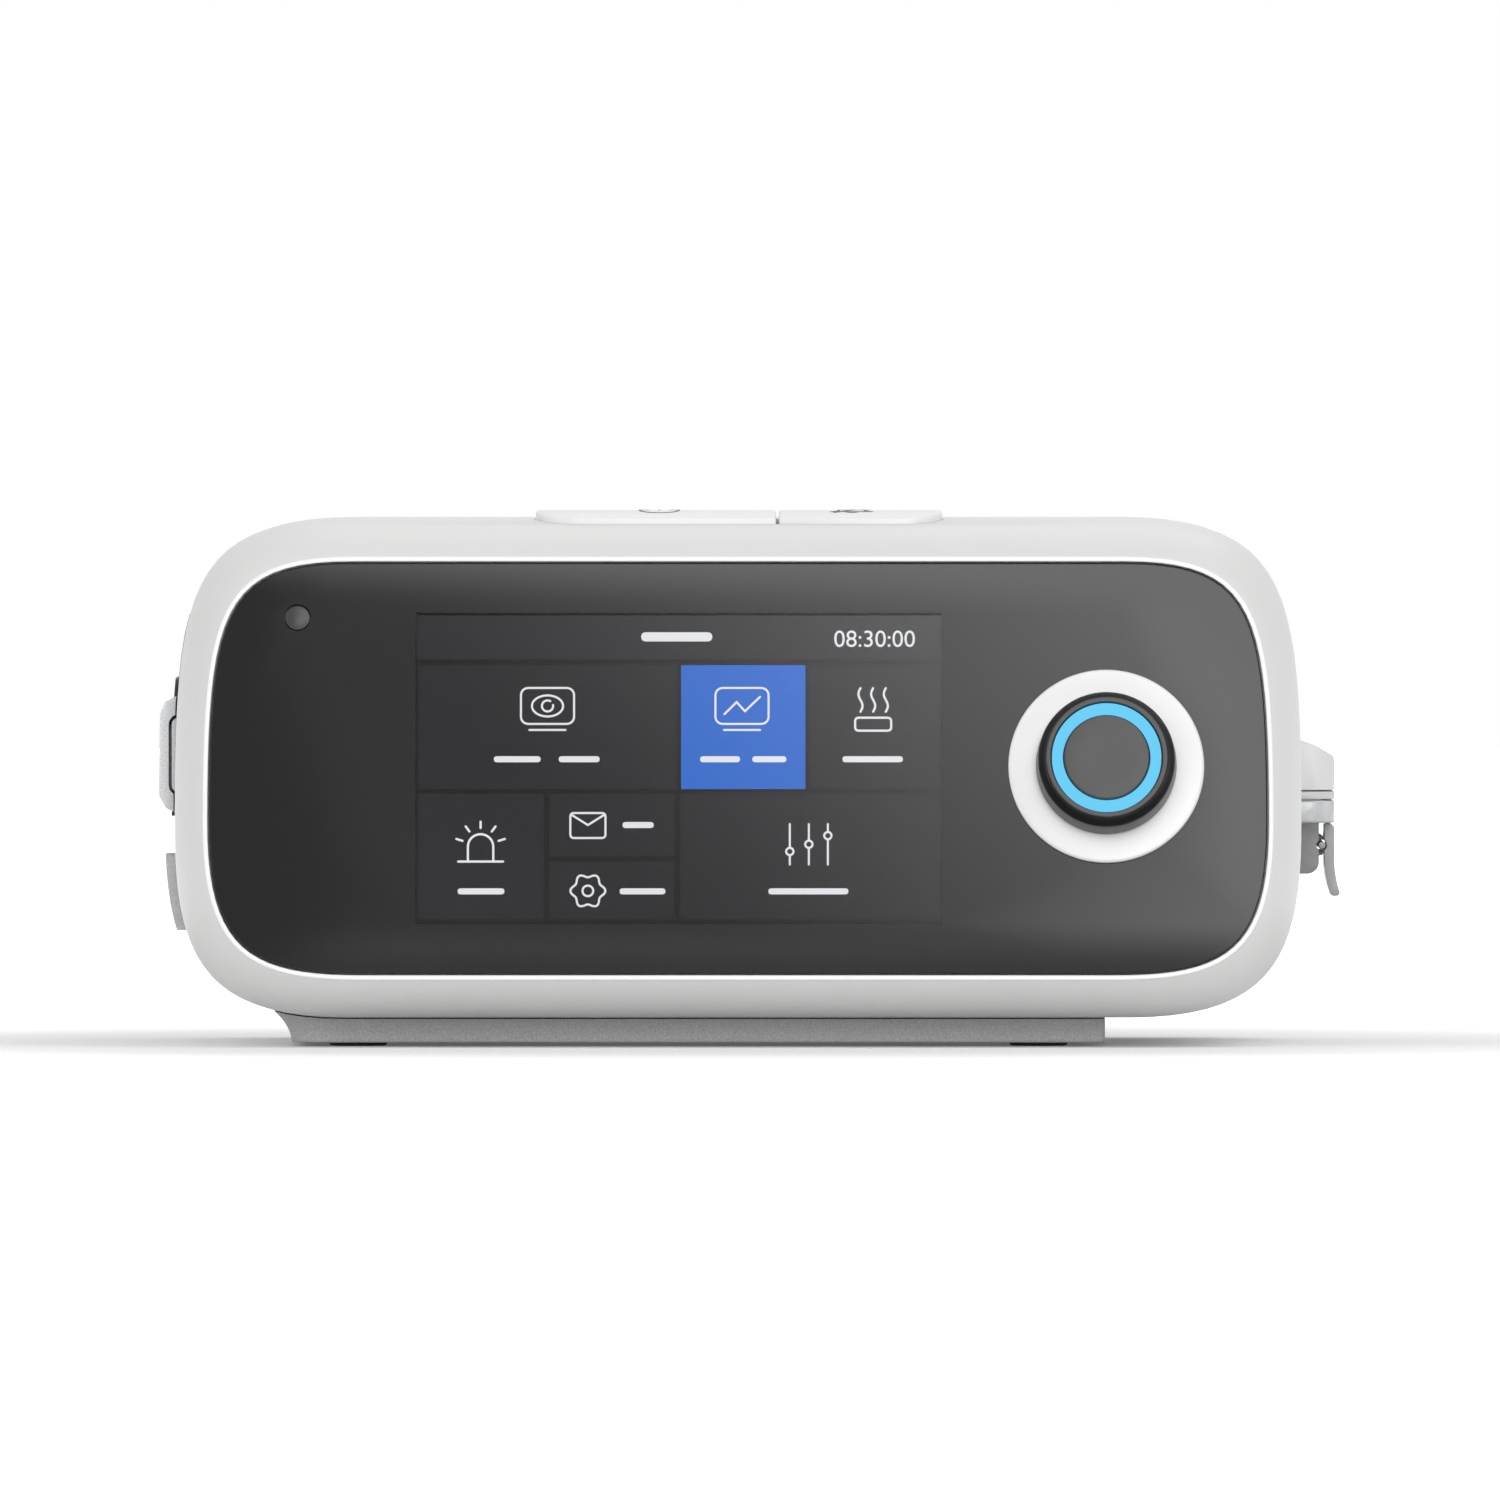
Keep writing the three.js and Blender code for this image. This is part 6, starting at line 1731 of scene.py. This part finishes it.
def tank_layer(name, z_low, z_high, margin, nose_z=None):
    """The tank's plan between two levels, moved inwards: the box inside the body and its nose."""
    made = rounded_box(
        name, (tank_low.x + margin, tank_low.y + margin, z_low), (right_end, tank_high.y - margin, z_high),
        tank_corner - margin / 2, segments=10)
    common(made, body_block("tank_end", tank_side_inset + margin))
    join_up(made, rounded_box(
        "nose",
        (nose_x - nose_length, tank_low.y + nose_inset + margin, z_low if nose_z is None else nose_z),
        (nose_x - margin, tank_high.y - nose_inset - margin, z_high),
        nose_corner - margin / 2, segments=12))
    return made


def prism_y(name, profile, y_low, y_high):
    """A section of (x, z) points drawn along Y."""
    return loft(name, [[Vector((x, y, z)) for x, z in profile] for y in (y_low, y_high)])


block_inset = 8 * mm  # of the end block from the nose's sides
block_x = nose_x - 3.2 * mm
block_low = Vector((nose_x - nose_length, tank_low.y + nose_inset + block_inset, nose_bottom - 10.6 * mm))
block_back = tank_high.y - nose_inset - block_inset
block_corner = 2.5 * mm
latch_pin_low, latch_pin_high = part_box("latch_pin")
pin_middle = (latch_pin_low + latch_pin_high) / 2
latch_pin_radius = (latch_pin_high.z - latch_pin_low.z) / 2
ear_width = 4 * mm
ear_starts = (4 * mm, block_back - block_low.y - 8 * mm)
ear_half = 2.1 * mm
base_low, base_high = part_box("tank_base_plate")
plate_window = 5 * mm

tank = tank_layer("tank_box", tank_low.z, tank_high.z, 0, nose_bottom)
end_block = prism_y("end_block", rounded([
    (block_low.x, block_low.z),
    (block_x, block_low.z),
    (block_x, nose_bottom + 1 * mm),
    (block_low.x, nose_bottom + 1 * mm),
], {1: block_corner}, steps=8), block_low.y, block_back)
ears = [
    block("ear", (block_x - 1 * mm, block_low.y + start, pin_middle.z - ear_half),
          (block_x + ear_proud, block_low.y + start + ear_width, pin_middle.z + ear_half))
    for start in ear_starts
]
join_up(tank, end_block, *ears)
break_edges(tank, 0.4 * mm, segments=3, angle=60)
space = tank_layer(
    "tank_space", tank_low.z + tank_wall, tank_high.z + 1 * mm, tank_wall, nose_bottom + tank_wall)
cut_away(
    tank, space,
    block("plate_opening", (base_low.x + plate_window, base_low.y + plate_window, tank_low.z - 1 * mm),
          (base_high.x - plate_window, base_high.y - plate_window, tank_low.z + tank_wall + 1 * mm)),
    cylinder("pin_bore", pin_middle, latch_pin_radius + fit, nose_length * 2, vertices=32),
)
settle(tank, "tank", "clear_plastic", clear_plastic, "tank_body")

# Tank base plate, heater and insulator. The plate is drawn stainless steel and lies on the heater's
# anodised plate; a mat of white glass fibre keeps the heat from the chassis.
drawn_steel = moulded("drawn_steel", (0.6, 0.6, 0.61), 0.34, grain=0.4, depth=0.003, shade=0.08,
                      gloss_change=0.12, Metallic=1.0)
plates = (  # piece, node, body, slot, finish, corner and edge
    ("tank_base", "tank_base_plate", "tank", "steel", drawn_steel, 4 * mm, 0.4 * mm),
    ("heater_anodised", "heater_plate", "body", "steel", drawn_steel, 3 * mm, 0.4 * mm),
    ("glass_fibre_mat", "heater_insulator", "body", "white_foam", fleece, 3 * mm, 0.8 * mm),
)
for name, node, body, slot, finish, plate_corner, plate_edge in plates:
    plate = rounded_box(name, *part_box(node), plate_corner, segments=8)
    break_edges(plate, plate_edge, segments=3, angle=60)
    settle(plate, body, slot, finish, node)

# Tank seal. A frame of translucent silicone that lies between the tank's rim and the lid, as wide
# as the rim, and is held down by the lid.
silicone = moulded("translucent_silicone", (0.8, 0.81, 0.82), 0.4, grain=0.5, depth=0.004, shade=0.05,
                   Transmission_Weight=0.2, IOR=1.41)
seal_low, seal_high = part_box("tank_seal")
seal_width = 3 * mm
tank_seal = tank_layer("tank_seal_frame", seal_low.z, seal_high.z, 0)
cut_away(tank_seal, tank_layer("seal_space", seal_low.z - 1 * mm, seal_high.z + 1 * mm, seal_width))
break_edges(tank_seal, 0.3 * mm, segments=3, angle=60)
settle(tank_seal, "tank", "clear_plastic", silicone, "tank_seal")

# Tank lid. A white hood over the box that turns into a domed cap on the nose.
lid_wall = 2 * mm
dome_from = nose_x - 7.4 * mm
dome_to = nose_x - 0.6 * mm
dome_drop = 2.8 * mm
dome_steps = 14


def bowed(start, bend, end, steps):
    """Points of a curve from a start to an end that leans towards a bend."""
    shares = [step / steps for step in range(steps + 1)]
    return [tuple(start * (1 - t) ** 2 + bend * (2 * t * (1 - t)) + end * t * t) for t in shares]


def dome_profile():
    """What the dome cuts away above the cap, as a section across the body."""
    crest = Vector(((dome_from + dome_to) / 2, lid_high.z - dome_drop / 4))
    start, end = Vector((dome_from, lid_high.z)), Vector((dome_to, lid_high.z - dome_drop))
    points = bowed(start, crest, end, dome_steps)
    tip = nose_x - dome_to
    for step_in, step_on in quarter(tip, 6)[1:]:
        points.append((dome_to + step_on, lid_high.z - dome_drop - step_in * dome_drop / tip))
    return [*points, (nose_x + 1 * mm, points[-1][1]), (nose_x + 1 * mm, lid_high.z + 1 * mm),
            (dome_from, lid_high.z + 1 * mm)]


lid = tank_layer("tank_lid_hood", lid_low.z, lid_high.z, 0)
cut_away(lid, prism_y("dome", dome_profile(), tank_low.y, tank_high.y))
break_edges(lid, 0.5 * mm, segments=3, angle=55)
lid_space = tank_layer("lid_space", lid_low.z - 1 * mm, lid_high.z - lid_wall, seal_width)
cut_away(lid_space, block(
    "solid_nose", (dome_from, tank_low.y - 1 * mm, 0), (right_end, tank_high.y + 1 * mm, beyond * 3)))
cut_away(lid, lid_space, *[
    port_slot(f"lid_port_{index}", middle, 0, tank_low.x - 1 * mm, tank_low.x + seal_width + 1 * mm)
    for index, middle in enumerate(port_middles)])
settle(lid, "tank", "white_shell", white_shell, "tank_lid")

# Latch. A clear lever with two lugs turns on a steel pin between the ears of the end block; its
# tip flares out for the finger.
latch_low, latch_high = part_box("tank_latch")
lever_x = block_x + ear_proud + fit
lever_thickness = 2 * mm
lever_flare = 1.4 * mm
lever_straight = pin_middle.z - 2.8 * mm
lever_steps = 12
lug_half = 1.2 * mm
lug_inset = 9 * mm


def lever_line(offset):
    """The lever's side from the top to the tip, as a section across the body."""
    start = Vector((lever_x + offset, lever_straight))
    bend = Vector((lever_x + offset, (lever_straight + latch_low.z) / 2))
    end = Vector((lever_x + offset + lever_flare, latch_low.z))
    return [(lever_x + offset, latch_high.z), *bowed(start, bend, end, lever_steps)]


lever_profile = [*lever_line(0), *reversed(lever_line(lever_thickness))]
outer_tip = lever_steps + 1
tips = {0: 0.6 * mm, outer_tip: 0.5 * mm, outer_tip + 1: 0.7 * mm, len(lever_profile) - 1: 0.9 * mm}
latch = prism_y("latch_lever", rounded(lever_profile, tips), latch_low.y, latch_high.y)
break_edges(latch, 0.35 * mm, segments=3, angle=60)
lug_x = block_x + fit
lugs = [
    block("lug", (lug_x, y, pin_middle.z - lug_half),
          (lever_x + lever_thickness / 2, y + ear_width, pin_middle.z + lug_half))
    for y in (block_low.y + lug_inset, block_back - lug_inset - ear_width)
]
join_up(latch, *lugs)
cut_away(latch, cylinder("latch_bore", pin_middle, latch_pin_radius + fit, nose_length * 2, vertices=32))
settle(latch, "tank_latch", "clear_plastic", latch_plastic, "tank_latch")
latch_pin = spun("latch_pin_steel", rounded([
    (0, latch_pin_low.y),
    (latch_pin_radius, latch_pin_low.y),
    (latch_pin_radius, latch_pin_high.y),
    (0, latch_pin_high.y),
], {1: 0.2 * mm, 2: 0.2 * mm}), (pin_middle.x, 0, pin_middle.z), steps=24, axis="Y")
dark_steel = moulded("phosphated_steel", (0.26, 0.26, 0.27), 0.55, grain=0.4, depth=0.006, shade=0.15,
                     Metallic=1.0)
settle(latch_pin, "tank", "steel", dark_steel, "latch_pin")

# Key mat and key board. A grey silicone mat with carbon pills under the keys, on a small circuit
# board of green solder mask with tinned pads.


def finish_nodes(finish, *names):
    """Gives its real material to a part whose CAD shape is right."""
    for name in names:
        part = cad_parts[name]
        part.data.materials.clear()
        part.data.materials.append(finish)


mat_silicone = moulded("key_mat_silicone", (0.42, 0.43, 0.44), 0.55, grain=0.5, depth=0.008, shade=0.12)
circuit_board = moulded("circuit_board", (0.02, 0.16, 0.07), 0.35, grain=0.4, depth=0.004, shade=0.25,
                        dots=(1.5, 0.35, 0.5, 3.2))
finish_nodes(mat_silicone, "key_mat")
finish_nodes(circuit_board, "key_board")

# Screen frame and display board. A pressed frame of zinc-plated steel holds the screen to its own
# circuit board behind it.
plated_steel = moulded("zinc_plated_steel", (0.52, 0.53, 0.55), 0.38, grain=0.6, depth=0.004, shade=0.12,
                       gloss_change=0.14, Metallic=1.0)
finish_nodes(plated_steel, "screen_frame")
finish_nodes(circuit_board, "display_board")

# Knob encoder. The knob's switch: a housing of black nylon, a plated shaft, and a plunger of white
# acetal that the shaft presses.
black_nylon = moulded("black_nylon", (0.035, 0.035, 0.037), 0.5, grain=0.4, depth=0.012, shade=0.15)
acetal = moulded("white_acetal", (0.78, 0.78, 0.76), 0.35, grain=0.6, depth=0.005, shade=0.05)
finish_nodes(black_nylon, "encoder_body")
finish_nodes(plated_steel, "encoder_shaft")
finish_nodes(acetal, "encoder_plunger")

# Main board. The circuit board of the machine lies behind the panel, with the flow sensor, moulded
# of black nylon, in the air path and the speaker's steel basket below.
finish_nodes(circuit_board, "main_board")
finish_nodes(black_nylon, "flow_sensor")
finish_nodes(plated_steel, "speaker")

# Blower. Two volute halves of grey glass-filled nylon are screwed together round an impeller of
# pale acetal, on a soft silicone mount.
grey_nylon = moulded("glass_filled_nylon", (0.3, 0.31, 0.32), 0.58, grain=0.4, depth=0.02, shade=0.1,
                     dots=(0.4, 0.3, 0.7, 1.4))
finish_nodes(grey_nylon, "volute_lower", "volute_upper")
finish_nodes(acetal, "impeller")
finish_nodes(mat_silicone, "blower_mount")

# Blower motor. A turned aluminium cup, a stator wound with enamelled copper, and a ground steel
# shaft in two bearings.
aluminium = moulded("turned_aluminium", (0.74, 0.74, 0.75), 0.3, grain=0.3, depth=0.004, shade=0.06,
                    gloss_change=0.12, Metallic=1.0)
copper = moulded("enamelled_copper", (0.72, 0.34, 0.16), 0.28, grain=0.5, depth=0.03, shade=0.3, Metallic=1.0)
finish_nodes(aluminium, "motor_cup")
finish_nodes(copper, "motor_stator")
finish_nodes(drawn_steel, "motor_bearing_lower", "motor_bearing_upper", "motor_shaft")

# Air path. Ducts of grey nylon lead in through a block of dark silencing foam, and out through an
# elbow to the tank's port.
foam = moulded("silencing_foam", (0.045, 0.045, 0.05), 0.95, grain=1.4, depth=0.4, shade=0.4,
               dots=(1.1, 0.6, 0.3, 1.8))
finish_nodes(grey_nylon, "blower_duct", "outlet_elbow")
finish_nodes(foam, "inlet_silencer")
